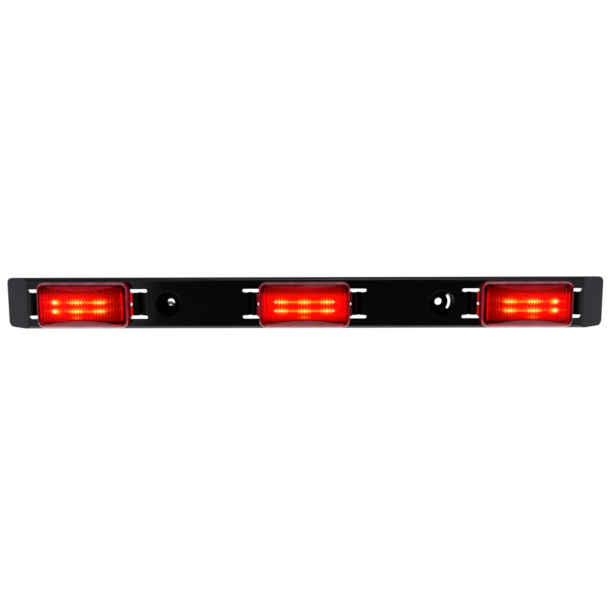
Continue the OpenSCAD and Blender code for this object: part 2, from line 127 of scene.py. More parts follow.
@dataclass(frozen=True)
class Room:
    """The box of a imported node, in the bar's axes."""

    low: Array
    high: Array

    @classmethod
    def of(cls, node: str) -> Room:
        """Reads the box of the named node."""
        low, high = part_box(node)
        return cls(np.array([low.x, low.z, -high.y]), np.array([high.x, high.z, -low.y]))

    @property
    def centre(self) -> Array:
        """Middle of the box."""
        return (self.low + self.high) / 2

    @property
    def size(self) -> Array:
        """Length, height and depth of the box."""
        return self.high - self.low


def circle_loop(count: int) -> Array:
    """Unit circle of count points in the x-y plane, one row for each point."""
    turn = np.linspace(0, 2 * math.pi, count, endpoint=False)
    return np.stack([np.cos(turn), np.sin(turn), np.zeros(count)], axis=-1)


def rounded_loop(half_x: float, half_y: float, radius: float, arc_steps: int = 5) -> Array:
    """Outline of a rounded rectangle in the x-y plane.

    Each corner's points are its centre plus radius times (cosine, sine) of a quarter turn.

    Args:
        half_x: half of the length along x.
        half_y: half of the length along y.
        radius: corner radius.
        arc_steps: steps in each corner.

    Returns:
        Points in order, one row each, with z at 0.
    """
    quarter = np.linspace(0, QUARTER, arc_steps + 1)
    turns = (np.arange(4)[:, None] * QUARTER + quarter[None, :]).ravel()
    corner_x = np.repeat([1, -1, -1, 1], arc_steps + 1) * (half_x - radius)
    corner_y = np.repeat([1, 1, -1, -1], arc_steps + 1) * (half_y - radius)
    flat = np.zeros(turns.size)
    return np.stack([corner_x + radius * np.cos(turns), corner_y + radius * np.sin(turns), flat], axis=-1)


def lathe_loops(profile: Sequence[tuple[float, float]], count: int = 32) -> Array:
    """Loops of a turned shape about z: at each profile point, a circle of its radius at its height."""
    radius, height = np.array(profile, float).T
    loops = circle_loop(count)[None] * radius[:, None, None]
    loops[..., 2] = height[:, None]
    return loops


def smooth_path(points: Sequence[Sequence[float]], steps: int) -> Array:
    """Catmull-Rom curve through points.

    Between two points the place is half of (2b + (c - a)t + (2a - 5b + 4c - d)t^2 + (3b - a - 3c + d)t^3),
    where b and c are the two points and a and d are their neighbours.

    Args:
        points: points to pass through.
        steps: stretches between each pair.

    Returns:
        Points along the curve, one row each.
    """
    known = np.array(points, float)
    padded = np.vstack([known[:1], known, known[-1:]])
    a, b, c, d = (padded[i : len(padded) - 3 + i, None, :] for i in range(4))
    t = np.linspace(0, 1, steps, endpoint=False)[None, :, None]
    curve = (2 * b + (c - a) * t + (2 * a - 5 * b + 4 * c - d) * t**2 + (3 * b - a - 3 * c + d) * t**3) / 2
    return np.vstack([curve.reshape(-1, 3), known[-1:]])


def tube_loops(path: Array, radius: float, count: int = 14) -> Array:
    """Circles carried along a path, square to it.

    At each point the circle lies in the plane of two directions that are square to the path there: a fixed
    reference direction less its share along the path, and the cross product of the two.

    Args:
        path: points along the middle of the tube.
        radius: radius of the tube.
        count: points in each circle.

    Returns:
        One loop for each point of the path.
    """
    along = np.gradient(path, axis=0)
    along /= np.linalg.norm(along, axis=1, keepdims=True)
    reference = np.array([0.29, 0.17, 0.94])
    side = reference - (along @ reference)[:, None] * along
    side /= np.linalg.norm(side, axis=1, keepdims=True)
    other = np.cross(along, side)
    ring = circle_loop(count)[None]
    return path[:, None] + radius * (ring[..., :1] * side[:, None] + ring[..., 1:2] * other[:, None])


def put_in_scene(name: str, data: bpy.types.ID) -> bpy.types.Object:
    """Makes an object of a mesh, light or camera and links it to the scene."""
    made = bpy.data.objects.new(name, data)
    bpy.context.scene.collection.objects.link(made)
    return made


class Piece:
    """Gathers the surfaces of one piece and makes its object."""

    def __init__(self, name: str, crease_deg: float = 38.0) -> None:
        """Starts an empty piece.

        Args:
            name: name of the object to make.
            crease_deg: edges that turn more than this stay sharp.
        """
        self.name = name
        self.crease_deg = crease_deg
        self.points: list[Array] = []
        self.marks: list[Array] = []
        self.faces: list[Sequence[int]] = []
        self.tones: list[int] = []
        self.count = 0

    def add(self, points: Array, faces: Array, tone: int = 0, marks: Array | None = None) -> int:
        """Adds a surface.

        Args:
            points: its vertices, in the bar's axes.
            faces: its faces, as rows of vertex numbers that start at 0.
            tone: which of the piece's finishes it takes.
            marks: a vector for each vertex, kept as the lamp_place attribute.

        Returns:
            The number that its first vertex has in the piece.
        """
        first = self.count
        self.points.append(points.reshape(-1, 3))
        self.count += len(self.points[-1])
        self.marks.append(np.zeros((self.count - first, 3)) if marks is None else marks.reshape(-1, 3))
        self.faces.extend((np.asarray(faces) + first).tolist())
        self.tones.extend([tone] * len(faces))
        return first

    def bridge(self, ring: Array, other: Array, tone: int = 0) -> None:
        """Joins two closed rings of the same length with quads."""
        quads = np.stack([ring, np.roll(ring, -1), np.roll(other, -1), other], axis=-1)
        self.faces.extend(quads.tolist())
        self.tones.extend([tone] * len(quads))

    def loops(self, loops: Array, tone: int = 0, marks: Array | None = None) -> Array:
        """Adds the points of some loops, without faces.

        Args:
            loops: array of loops, each of the same number of points.
            tone: which of the piece's finishes they take.
            marks: a vector for each point, or None.

        Returns:
            The numbers of the points, one row for each loop.
        """
        first = self.add(loops, np.empty((0, 4), int), tone, marks)
        return first + np.arange(loops[..., 0].size).reshape(loops.shape[:2])

    def loft(self, loops: Array, tone: int = 0, marks: Array | None = None) -> None:
        """Adds closed loops joined in order, with a flat cap on the first and the last."""
        index = self.loops(loops, tone, marks)
        for ring, other in zip(index[:-1], index[1:]):
            self.bridge(ring, other, tone)
        self.faces.extend([index[0].tolist(), index[-1].tolist()])
        self.tones.extend([tone, tone])

    def hoop(self, loops: Array, tone: int = 0) -> None:
        """Adds closed loops joined in order, with the last joined back to the first."""
        index = self.loops(loops, tone)
        for ring, other in zip(index, np.roll(index, -1, axis=0)):
            self.bridge(ring, other, tone)

    def make(self, finishes: Sequence[bpy.types.Material]) -> bpy.types.Object:
        """Makes the object, with its faces turned outwards and its creases sharp.

        Args:
            finishes: one material for each tone.

        Returns:
            The new object, at the origin.
        """
        mesh = bpy.data.meshes.new(self.name)
        mesh.from_pydata(to_frame(np.vstack(self.points)), [], self.faces)
        mesh.polygons.foreach_set("material_index", np.array(self.tones, np.int32))
        place = mesh.attributes.new(LAMP_PLACE, "FLOAT_VECTOR", "POINT")
        place.data.foreach_set("vector", np.vstack(self.marks).astype(np.float32).ravel())
        shape = bmesh.new()
        shape.from_mesh(mesh)
        bmesh.ops.recalc_face_normals(shape, faces=shape.faces)
        shape.to_mesh(mesh)
        shape.free()
        mesh.shade_smooth()
        mesh.set_sharp_from_angle(angle=math.radians(self.crease_deg))
        for finish in finishes:
            mesh.materials.append(finish)
        made = put_in_scene(self.name, mesh)
        LOG.info("%s: %d points, %d faces", self.name, len(mesh.vertices), len(mesh.polygons))
        return made


# ---------- node trees ----------


class Tree:
    """Short calls for adding nodes to a material, a world or a group and joining them."""

    def __init__(self, tree: bpy.types.NodeTree) -> None:
        """Keeps the tree to add to."""
        self.tree = tree

    def add(self, kind: str, inputs: dict | None = None, **settings: object) -> bpy.types.Node:
        """Adds a node.

        Args:
            kind: the node's type.
            inputs: value or socket for each input, by name or number.
            settings: the node's own properties.

        Returns:
            The new node.
        """
        node = self.tree.nodes.new(kind)
        for name, value in settings.items():
            setattr(node, name, value)
        for key, value in (inputs or {}).items():
            self.give(node, key, value)
        return node

    def give(self, node: bpy.types.Node, key: str | int, value: object) -> None:
        """Joins a socket to a node's input, or sets the input to a value."""
        if isinstance(value, Socket):
            self.tree.links.new(value, node.inputs[key])
        else:
            node.inputs[key].default_value = value

    def math(self, operation: str, *values: float | Socket, clamp: bool = False) -> Socket:
        """Result of a Math node on one to three values or sockets."""
        inputs = dict(enumerate(values))
        return self.add("ShaderNodeMath", inputs, operation=operation, use_clamp=clamp).outputs[0]

    def total(self, *values: float | Socket) -> Socket:
        """Sum of two or more values or sockets."""
        result = values[0]
        for value in values[1:]:
            result = self.math("ADD", result, value)
        return result

    def product(self, *values: float | Socket) -> Socket:
        """Product of two or more values or sockets."""
        result = values[0]
        for value in values[1:]:
            result = self.math("MULTIPLY", result, value)
        return result

    def less(self, first: float | Socket, second: float | Socket) -> Socket:
        """First less second."""
        return self.math("SUBTRACT", first, second)

    def size(self, value: Socket) -> Socket:
        """Value without its sign."""
        return self.math("ABSOLUTE", value)

    def parts(self, vector: Socket) -> bpy.types.NodeOutputs:
        """X, Y and Z of a vector, by name."""
        return self.add("ShaderNodeSeparateXYZ", {0: vector}).outputs

    def vector(self, *parts: float | Socket) -> Socket:
        """Vector of an x, a y and a z."""
        return self.add("ShaderNodeCombineXYZ", dict(enumerate(parts))).outputs[0]

    def bell(self, value: Socket, width: float) -> Socket:
        """Bell curve: e to the minus square of value over width."""
        share = self.math("DIVIDE", value, width)
        return self.math("EXPONENT", self.product(share, share, -1.0))

    def ramp(self, value: Socket, low: float, high: float, start: float = 0.0, end: float = 1.0) -> Socket:
        """Smooth step of value: start below low, end above high."""
        inputs = {"Value": value, "From Min": low, "From Max": high, "To Min": start, "To Max": end}
        node = self.add("ShaderNodeMapRange", inputs, interpolation_type="SMOOTHSTEP")
        return node.outputs["Result"]

    def noise(self, place: Socket, scale: float | Socket, detail: float = 3.0) -> Socket:
        """Value of a noise texture, from 0 to 1."""
        inputs = {"Vector": place, "Scale": scale, "Detail": detail}
        return self.add("ShaderNodeTexNoise", inputs).outputs["Fac"]

    def blend(self, share: float | Socket, first: object, second: object) -> Socket:
        """Mix of two colours or colour sockets."""
        node = self.add("ShaderNodeMix", data_type="RGBA")
        self.give(node, 0, share)
        for key, colour in ((6, first), (7, second)):
            self.give(node, key, colour if isinstance(colour, Socket) else (*colour, 1.0))
        return node.outputs[2]

    def tinted(self, value: Socket, colour: Colour | Socket) -> Socket:
        """Colour times a value, as a vector."""
        scaled = {0: colour, "Scale": value}
        return self.add("ShaderNodeVectorMath", scaled, operation="SCALE").outputs[0]

    def vector_sum(self, *values: Socket) -> Socket:
        """Sum of two or more vectors."""
        result = values[0]
        for value in values[1:]:
            result = self.add("ShaderNodeVectorMath", {0: result, 1: value}, operation="ADD").outputs[0]
        return result


@dataclass
class Effect:
    """A shader node group that several finishes share, built once, on first use."""

    name: str
    inputs: dict[str, tuple[str, object]]
    outputs: dict[str, str]
    fill: Callable[[Tree, dict[str, Socket]], dict[str, Socket]]
    group: bpy.types.NodeTree | None = None

    def built(self) -> bpy.types.NodeTree:
        """Makes the group if it isn't there yet, and returns it."""
        if self.group is None:
            self.group = bpy.data.node_groups.new(self.name, "ShaderNodeTree")
            for name, (kind, value) in self.inputs.items():
                socket = self.group.interface.new_socket(name=name, in_out="INPUT", socket_type=kind)
                if value is not None:
                    socket.default_value = value
            for name, kind in self.outputs.items():
                self.group.interface.new_socket(name=name, in_out="OUTPUT", socket_type=kind)
            tree = Tree(self.group)
            entry = tree.add("NodeGroupInput")
            results = self.fill(tree, {name: entry.outputs[name] for name in self.inputs})
            tree.add("NodeGroupOutput", results)
        return self.group

    def place(self, tree: Tree, **inputs: object) -> bpy.types.Node:
        """Adds the group to a material's tree with this material's own values."""
        node = tree.add("ShaderNodeGroup", node_tree=self.built())
        for name, value in inputs.items():
            tree.give(node, name, value)
        return node


VALUE = "NodeSocketFloat"
VECTOR = "NodeSocketVector"
COLOUR = "NodeSocketColor"


def fill_moulding(tree: Tree, given: dict[str, Socket]) -> dict[str, Socket]:
    """Moulded skin: slow waves, a fine grain, and roughness that wanders between two values."""
    waves = tree.noise(given["Place"], given["Wave scale"], 1.0)
    grain = tree.noise(given["Place"], given["Grain scale"], 4.0)
    height = tree.total(
        tree.product(waves, given["Wave height"]), tree.product(grain, given["Grain height"])
    )
    patches = tree.noise(given["Place"], tree.product(given["Wave scale"], 2.7), 5.0)
    spread = tree.less(given["Roughest"], given["Smoothest"])
    roughness = tree.total(given["Smoothest"], tree.product(spread, tree.ramp(patches, 0.3, 0.7)))
    return {"Height": height, "Roughness": roughness, "Patches": patches}


MOULDING = Effect(
    "moulded_skin",
    {
        "Place": (VECTOR, None),
        "Wave scale": (VALUE, 60.0),
        "Wave height": (VALUE, 0.2),
        "Grain scale": (VALUE, 2500.0),
        "Grain height": (VALUE, 0.02),
        "Smoothest": (VALUE, 0.1),
        "Roughest": (VALUE, 0.2),
    },
    {"Height": VALUE, "Roughness": VALUE, "Patches": VALUE},
    fill_moulding,
)


def fill_dust(tree: Tree, given: dict[str, Socket]) -> dict[str, Socket]:
    """Dust: fine specks, and a thin film that gathers on faces that look up."""
    cells = tree.add("ShaderNodeTexVoronoi", {"Vector": given["Place"], "Scale": given["Speck scale"]})
    specks = tree.ramp(cells.outputs["Distance"], 0.10, 0.04)
    sparse = tree.ramp(tree.noise(given["Place"], 700.0, 2.0), 0.56, 0.66)
    facing = tree.add("ShaderNodeNewGeometry").outputs["Normal"]
    gathered = tree.ramp(tree.parts(facing)["Z"], 0.2, 1.0)
    film = tree.product(gathered, tree.noise(given["Place"], 180.0, 6.0))
    mask = tree.math("ADD", tree.product(specks, sparse), tree.product(film, 0.3), clamp=True)
    return {"Mask": tree.product(mask, given["Amount"])}


DUST = Effect(
    "settled_dust",
    {"Place": (VECTOR, None), "Speck scale": (VALUE, 1400.0), "Amount": (VALUE, 0.1)},
    {"Mask": VALUE},
    fill_dust,
)


def fill_edge_wear(tree: Tree, given: dict[str, Socket]) -> dict[str, Socket]:
    """Edge wear: where a rounded normal strays from the true one, broken up by noise."""
    rounded = tree.add("ShaderNodeBevel", {"Radius": given["Width"]}, samples=4).outputs["Normal"]
    true = tree.add("ShaderNodeNewGeometry").outputs["Normal"]
    match = tree.add("ShaderNodeVectorMath", {0: rounded, 1: true}, operation="DOT_PRODUCT")
    edge = tree.ramp(match.outputs["Value"], 0.995, 0.93)
    broken = tree.ramp(tree.noise(given["Place"], 420.0, 6.0), 0.42, 0.62)
    return {"Mask": tree.product(edge, broken, given["Amount"]), "Rounded normal": rounded}


EDGE_WEAR = Effect(
    "edge_wear",
    {"Place": (VECTOR, None), "Width": (VALUE, 0.4 * MM), "Amount": (VALUE, 0.5)},
    {"Mask": VALUE, "Rounded normal": VECTOR},
    fill_edge_wear,
)


# Where things are on a lamp's face, in millimetres
COLUMN_PITCH = 15.4
ROW_HALF = 3.05
ROW_DROP = 0.7
FLUTE_PITCH = 1.9
END_DOT_OUT = 4.2
BLOB_RIM_IN = 1.2
BELOW_ROWS = 7.3
END_BAR_IN = 29.9

GLOW_TINTS: dict[str, Colour] = {
    "field": (0.98, 0.001, 0.003),
    "halo": (0.5, 0.04, 0.0),
    "streak": (2.2, 5.2, 0.08),
    "tail": (0.8, 1.3, 0.0),
    "patches": (2.4, 7.0, 0.5),
    "cores": (1.2, 4.0, 1.8),
    "spikes": (2.4, 5.0, 0.08),
    "below": (2.2, 4.2, 0.2),
    "end_dots": (3.8, 10.0, 3.6),
    "blobs": (4.0, 13.0, 5.5),
    "blob_rims": (2.6, 8.0, 0.2),
}


def fill_glow(tree: Tree, given: dict[str, Socket]) -> dict[str, Socket]:
    """Light of two rows of diodes spread by upright flutes, over a place given in millimetres.

    Along x, the distance to the nearest diode column is the sawtooth of x over the column pitch. Up the
    face, it is the distance to the nearer row. Bell curves of the two make the spots, the streaks between
    them and the wide red field. On the bar's outer lamps the outermost column shows as two round blobs, the
    red field is darker towards the bar's middle, and a bright red bar stands at that end. The place's z says
    how much of the light shows.
    """
    place = tree.parts(given["Place"])
    lean = given["Lean"]
    across = tree.less(place["X"], tree.product(lean, given["Shift"]))
    outward = tree.product(across, lean)
    turn = tree.math("DIVIDE", tree.total(across, COLUMN_PITCH / 2), COLUMN_PITCH)
    saw = tree.less(tree.math("FRACT", turn), 0.5)
    to_column = tree.size(tree.product(saw, COLUMN_PITCH))
    height = tree.total(place["Y"], ROW_DROP)
    to_row = tree.less(tree.size(height), ROW_HALF)
    reach = tree.size(across)
    ripple = tree.math("COSINE", tree.product(place["X"], 2 * math.pi / FLUTE_PITCH))
    crest = tree.total(tree.product(ripple, 0.5), 0.5)
    seam = tree.math("POWER", tree.less(1.0, crest), 3.0)
    local = tree.vector(place["X"], place["Y"], lean)
    flicker = tree.noise(local, 0.75, 4.0)
    speckle = tree.ramp(tree.noise(local, 1.9, 3.0), 0.3, 0.7, 0.15, 1.6)
    beads = tree.total(tree.product(crest, 0.75), 0.3)

    # 1 over the middle and inner columns, 0 past the middle column of an outer lamp
    kept = tree.ramp(outward, 7.5, 4.6)
    inside = tree.product(tree.ramp(reach, 21.5, 18.5), kept)
    only_centre = tree.less(1.0, tree.size(lean))
    field = tree.product(
        tree.ramp(tree.size(height), 11.5, 5.5, 0.17, 1.0),
        tree.ramp(reach, 31.0, 28.5, 0.5, 1.0),
        tree.ramp(height, 10.8, 7.6, 0.15, 1.0),
        tree.ramp(outward, -28.0, -7.0, 0.2, 1.0),
        tree.ramp(flicker, 0.25, 0.75, 0.68, 1.12),
    )
    lines = tree.product(seam, tree.ramp(outward, -1.0, -13.0, 0.16, 0.7))
    end_bar = tree.product(
        tree.bell(tree.total(outward, END_BAR_IN), 0.6), tree.ramp(tree.size(height), 11.0, 7.5)
    )
    lights = {
        "field": tree.total(tree.product(field, tree.less(1.0, lines)), end_bar),
        "halo": tree.product(tree.bell(to_row, 1.7), tree.bell(to_column, 5.0), inside, beads),
        "streak": tree.product(
            tree.bell(to_row, 0.6), tree.ramp(reach, 21.0, 17.0), kept, beads,
            tree.ramp(flicker, 0.3, 0.7, 0.45, 1.3),
        ),
        "tail": tree.product(tree.bell(to_row, 0.4), tree.ramp(reach, 25.0, 17.0), beads),
        "patches": tree.product(
            tree.ramp(to_column, 5.2, 3.0), tree.bell(to_row, 1.1), inside, beads, speckle
        ),
        "cores": tree.product(tree.bell(to_column, 1.5), tree.bell(to_row, 0.7), inside, speckle),
        "spikes": tree.product(
            tree.bell(to_column, 2.2), tree.bell(to_row, 1.9), inside, speckle,
            tree.math("POWER", crest, 3.0),
        ),
        "below": tree.product(
            tree.bell(across, 2.6), tree.bell(tree.total(height, BELOW_ROWS), 0.8), speckle, crest
        ),
        "end_dots": tree.product(
            tree.bell(tree.less(reach, COLUMN_PITCH + END_DOT_OUT), 0.6), tree.bell(to_row, 0.65), kept,
            only_centre,
        ),
        "blobs": tree.product(
            tree.bell(tree.less(outward, COLUMN_PITCH), 1.2), tree.bell(to_row, 1.0),
            tree.ramp(flicker, 0.2, 0.7, 0.7, 1.2),
        ),
        "blob_rims": tree.product(
            tree.bell(tree.less(outward, COLUMN_PITCH - BLOB_RIM_IN), 2.3), tree.bell(to_row, 1.35), speckle
        ),
    }
    shown = tree.vector_sum(*(tree.tinted(light, GLOW_TINTS[name]) for name, light in lights.items()))
    lit = tree.math("MAXIMUM", place["Z"], 0.0)
    return {"Light": tree.tinted(lit, shown)}


GLOW = Effect(
    "diode_glow",
    {"Place": (VECTOR, None), "Lean": (VALUE, 0.0), "Shift": (VALUE, 3.0)},
    {"Light": COLOUR},
    fill_glow,
)


# ---------- finishes ----------


@dataclass(frozen=True)
class Finish:
    """A procedural surface. Each kind of finish fills in its own nodes."""

    name: str

    def material(self) -> bpy.types.Material:
        """Makes the material, or returns it if it was made before."""
        made = bpy.data.materials.get(self.name)
        if made is None:
            made = bpy.data.materials.new(self.name)
            made.use_nodes = True
            made.node_tree.nodes.clear()
            tree = Tree(made.node_tree)
            tree.add("ShaderNodeOutputMaterial", {"Surface": self.surface(tree).outputs[0]})
        return made

    def surface(self, tree: Tree) -> bpy.types.Node:
        """Adds this finish's nodes and returns its shader."""
        raise NotImplementedError

    @staticmethod
    def object_place(tree: Tree) -> Socket:
        """Place on the object, in metres."""
        return tree.add("ShaderNodeTexCoord").outputs["Object"]

    @staticmethod
    def lamp_place(tree: Tree) -> Socket:
        """The vector that the lamp_place attribute keeps for each point."""
        return tree.add("ShaderNodeAttribute", attribute_name=LAMP_PLACE).outputs["Vector"]

    @staticmethod
    def bump(tree: Tree, height: Socket, depth: float, normal: Socket | None = None) -> Socket:
        """Normal with a height carried over it, depth metres for a height of one."""
        inputs = {"Height": height, "Distance": depth, "Strength": 1.0}
        if normal is not None:
            inputs["Normal"] = normal
        return tree.add("ShaderNodeBump", inputs).outputs[0]


@dataclass(frozen=True)
class Moulded(Finish):
    """Injection-moulded plastic, rubber or insulation."""

    colour: Colour = (0.01, 0.01, 0.01)
    worn: Colour = (0.05, 0.05, 0.05)
    smoothest: float = 0.1
    roughest: float = 0.2
    wave_depth: float = 0.004 * MM
    grain: float = 0.1
    grain_scale: float = 2500.0
    dust: float = 0.1
    wear: float = 0.3
    edge_width: float = 0.3 * MM
    specular: float = 0.5
    dust_colour: Colour = (0.42, 0.4, 0.38)

    def surface(self, tree: Tree) -> bpy.types.Node:
        """Base colour wanders, edges are worn lighter, dust lies on top, and grain bumps it all."""
        place = self.object_place(tree)
        skin = MOULDING.place(
            tree, Place=place, **{"Grain height": self.grain, "Grain scale": self.grain_scale},
            Smoothest=self.smoothest, Roughest=self.roughest,
        )
        dust = DUST.place(tree, Place=place, Amount=self.dust).outputs["Mask"]
        wander = tree.blend(skin.outputs["Patches"], self.colour, tuple(1.25 * c for c in self.colour))
        inputs = {"Specular IOR Level": self.specular}
        normal = None
        if self.wear > 0:
            edges = EDGE_WEAR.place(tree, Place=place, Amount=self.wear, Width=self.edge_width)
            wander = tree.blend(edges.outputs["Mask"], wander, self.worn)
            normal = edges.outputs["Rounded normal"]
        inputs["Base Color"] = tree.blend(dust, wander, self.dust_colour)
        dull = tree.product(dust, 0.6)
        inputs["Roughness"] = tree.math("ADD", skin.outputs["Roughness"], dull, clamp=True)
        inputs["Normal"] = self.bump(tree, skin.outputs["Height"], self.wave_depth, normal)
        return tree.add("ShaderNodeBsdfPrincipled", inputs)


@dataclass(frozen=True)
class BarPlastic(Moulded):
    """The bar's own plastic: polished outside, matt inside its screw pockets."""

    hole_x: float = 0.0951
    pocket_radius: float = 9.4 * MM
    pocket_below: float = 13.3 * MM
    matt: float = 0.55
    dulled: float = 0.84

    def surface(self, tree: Tree) -> bpy.types.Node:
        """The outer finish, made matt and darker near each screw's axis below the face."""
        shader = super().surface(tree)
        parts = tree.parts(self.object_place(tree))
        from_hole = tree.less(tree.size(parts["X"]), self.hole_x)
        flat = tree.vector(from_hole, parts["Z"], 0.0)
        radius = tree.add("ShaderNodeVectorMath", {0: flat}, operation="LENGTH").outputs["Value"]
        near = tree.math("LESS_THAN", radius, self.pocket_radius)
        below = tree.math("GREATER_THAN", parts["Y"], -self.pocket_below)
        pocket = tree.product(near, below)
        outer = shader.inputs["Roughness"].links[0].from_socket
        tree.give(shader, "Roughness", tree.total(tree.product(pocket, self.matt), outer))
        mirror = tree.less(self.specular, tree.product(pocket, self.dulled * self.specular))
        tree.give(shader, "Specular IOR Level", mirror)
        return shader


@dataclass(frozen=True)
class LensPlastic(Finish):
    """Clear red plastic, polished, with hairline scratches."""

    colour: Colour = (0.60, 0.008, 0.013)
    roughness: float = 0.03
    ior: float = 1.5
    clearness: float = 1.0
    specular: float = 0.5

    def surface(self, tree: Tree) -> bpy.types.Node:
        """Light passes and is tinted; the face has faint waves and scratches."""
        inputs = {
            "Base Color": self.tint(tree),
            "Transmission Weight": self.clearness,
            "IOR": self.ior,
            "Specular IOR Level": self.specular,
            "Roughness": self.roughness,
            "Normal": self.bump(tree, self.marks(tree), 0.003 * MM),
            **self.light(tree),
        }
        return tree.add("ShaderNodeBsdfPrincipled", inputs)

    def tint(self, tree: Tree) -> Socket:
        """Red that is a shade deeper in slow patches."""
        patches = tree.noise(self.object_place(tree), 90.0, 2.0)
        return tree.blend(patches, self.colour, tuple(0.86 * c for c in self.colour))

    def marks(self, tree: Tree) -> Socket:
        """Waves from moulding, and thin scratches where a stretched noise crosses its middle value."""
        place = self.object_place(tree)
        stretched = tree.add("ShaderNodeMapping", {"Vector": place, "Rotation": (0.0, 0.5, 0.0)})
        stretched.inputs["Scale"].default_value = (40.0, 40.0, 900.0)
        lines = tree.size(tree.less(tree.noise(stretched.outputs[0], 1.0, 2.0), 0.5))
        waves = tree.noise(place, 120.0, 1.0)
        return tree.total(waves, tree.product(tree.ramp(lines, 0.0, 0.012), 0.12))

    def light(self, tree: Tree) -> dict[str, object]:
        """Emission inputs of the shader. Plain lens plastic gives no light of its own."""
        return {}


@dataclass(frozen=True)
class LensSkin(LensPlastic):
    """The polished outer side of a lens: it mirrors least on the arch and most on its rounded rim.

    A point's lamp_place is x and y on the lamp in millimetres, then 1 on the arch, 0 on the bevels or -1 on
    the rim.
    """

    arch_mirror: float = 0.07
    bevel_mirror: float = 0.55
    rim_mirror: float = 1.0
    mirror_tint: Colour = (1.0, 0.74, 0.80)
    # Strength and colour of the pale pink highlight painted on the rim's long sides
    rim_highlight_strength: float = 0.8
    rim_highlight_colour: Colour = (0.30, 0.125, 0.15)
    end_colour: Colour = (0.27, 0.012, 0.024)
    bevel_colour: Colour = (0.10, 0.002, 0.010)
    end_start: float = 28.6

    def surface(self, tree: Tree) -> bpy.types.Node:
        """Clear red plastic whose mirroring changes from arch to bevel to rim."""
        shader = super().surface(tree)
        share = tree.parts(self.lamp_place(tree))["Z"]
        on_arch = tree.ramp(share, 0.0, 1.0, self.bevel_mirror, self.arch_mirror)
        on_rim = tree.ramp(share, 0.0, -1.0, 0.0, self.rim_mirror - self.bevel_mirror)
        tint = tree.tinted(tree.total(on_arch, on_rim), self.mirror_tint)
        tree.give(shader, "Specular Tint", tint)
        return shader

    def light(self, tree: Tree) -> dict[str, object]:
        """Emission: a painted pale pink highlight along the rim's long sides, deep red guided light in its
        ends, faint guided light in the bevels.
        """
        place = tree.parts(self.lamp_place(tree))
        rim = tree.ramp(place["Z"], -0.1, -0.9)
        end = tree.ramp(tree.size(place["X"]), self.end_start, self.end_start + 1.0)
        uneven = tree.ramp(tree.noise(self.object_place(tree), 130.0, 3.0), 0.3, 0.7, 0.55, 1.1)
        bevel = tree.product(tree.ramp(place["Z"], 0.7, 0.1), tree.less(1.0, rim))
        # painted highlight along the rim's long sides, away from its ends
        side = tree.product(rim, uneven, self.rim_highlight_strength, tree.less(1.0, end))
        shown = tree.vector_sum(
            tree.tinted(side, self.rim_highlight_colour),
            tree.tinted(tree.product(rim, uneven, end), self.end_colour),
            tree.tinted(tree.product(bevel, uneven), self.bevel_colour),
        )
        return {"Emission Color": shown, "Emission Strength": 1.0}


@dataclass(frozen=True)
class FlutedGlow(LensPlastic):
    """The fluted inner side of a lens, where the diodes' light spreads."""

    lean: int = 0
    strength: float = 1.0
    shift: float = 3.0
    mirror: Colour = (0.08, 0.06, 0.065)

    def light(self, tree: Tree) -> dict[str, object]:
        """The diodes' glow over the lamp's own place."""
        place = self.lamp_place(tree)
        glow = GLOW.place(tree, Place=place, Lean=float(self.lean), Shift=self.shift)
        return {
            "Emission Color": glow.outputs["Light"],
            "Emission Strength": self.strength,
            "Specular Tint": (*self.mirror, 1.0),
        }


@dataclass(frozen=True)
class EdgeGlow(LensPlastic):
    """Red plastic away from the diodes, which glows faintly with the light that it guides."""

    glow: Colour = (0.02, 0.0, 0.0003)
    strength: float = 1.0

    def light(self, tree: Tree) -> dict[str, object]:
        """Guided light, uneven from place to place."""
        uneven = tree.noise(self.object_place(tree), 260.0, 3.0)
        dim = tuple(0.45 * c for c in self.glow)
        return {"Emission Color": tree.blend(uneven, dim, self.glow), "Emission Strength": self.strength}


@dataclass(frozen=True)
class EarGlow(EdgeGlow):
    """A lens's ear, whose outer edge glows like the edge of a light guide."""

    def light(self, tree: Tree) -> dict[str, object]:
        """Guided light, brighter past half a millimetre out from the lens's wall."""
        guided = super().light(tree)
        out = tree.parts(self.lamp_place(tree))["X"]
        edge = tree.ramp(out, 0.35, 0.85, 0.05, 1.0)
        return {**guided, "Emission Strength": tree.product(edge, self.strength)}


@dataclass(frozen=True)
class LitBoard(Finish):
    """White solder mask lit by the diodes on it, with copper tracks that show as a faint relief."""

    centre: tuple[float, float, float] = (0.0, 0.0, 0.0)
    lean: int = 0
    strength: float = 0.02

    def surface(self, tree: Tree) -> bpy.types.Node:
        """Tracks follow a checked grid; the glow falls off from the diodes."""
        place = self.object_place(tree)
        offset = tuple(-c for c in self.centre)
        shifted = {"Vector": place, "Location": offset}
        parts = tree.parts(tree.add("ShaderNodeMapping", shifted, vector_type="POINT").outputs[0])
        flat = tree.vector(tree.product(parts["X"], 1 / MM), tree.product(parts["Z"], 1 / MM), 1.0)
        glow = GLOW.place(tree, Place=flat, Lean=float(self.lean), Shift=0.0)
        tracks = tree.add("ShaderNodeTexBrick", {"Vector": flat, "Scale": 0.3, "Mortar Size": 0.03})
        relief = tracks.outputs["Fac"]
        colour = tree.blend(relief, (0.82, 0.80, 0.74), (0.66, 0.66, 0.58))
        return tree.add("ShaderNodeBsdfPrincipled", {
            "Base Color": colour,
            "Roughness": tree.total(tree.product(relief, 0.15), 0.35),
            "Normal": self.bump(tree, relief, 0.03 * MM),
            "Emission Color": glow.outputs["Light"],
            "Emission Strength": self.strength,
        })


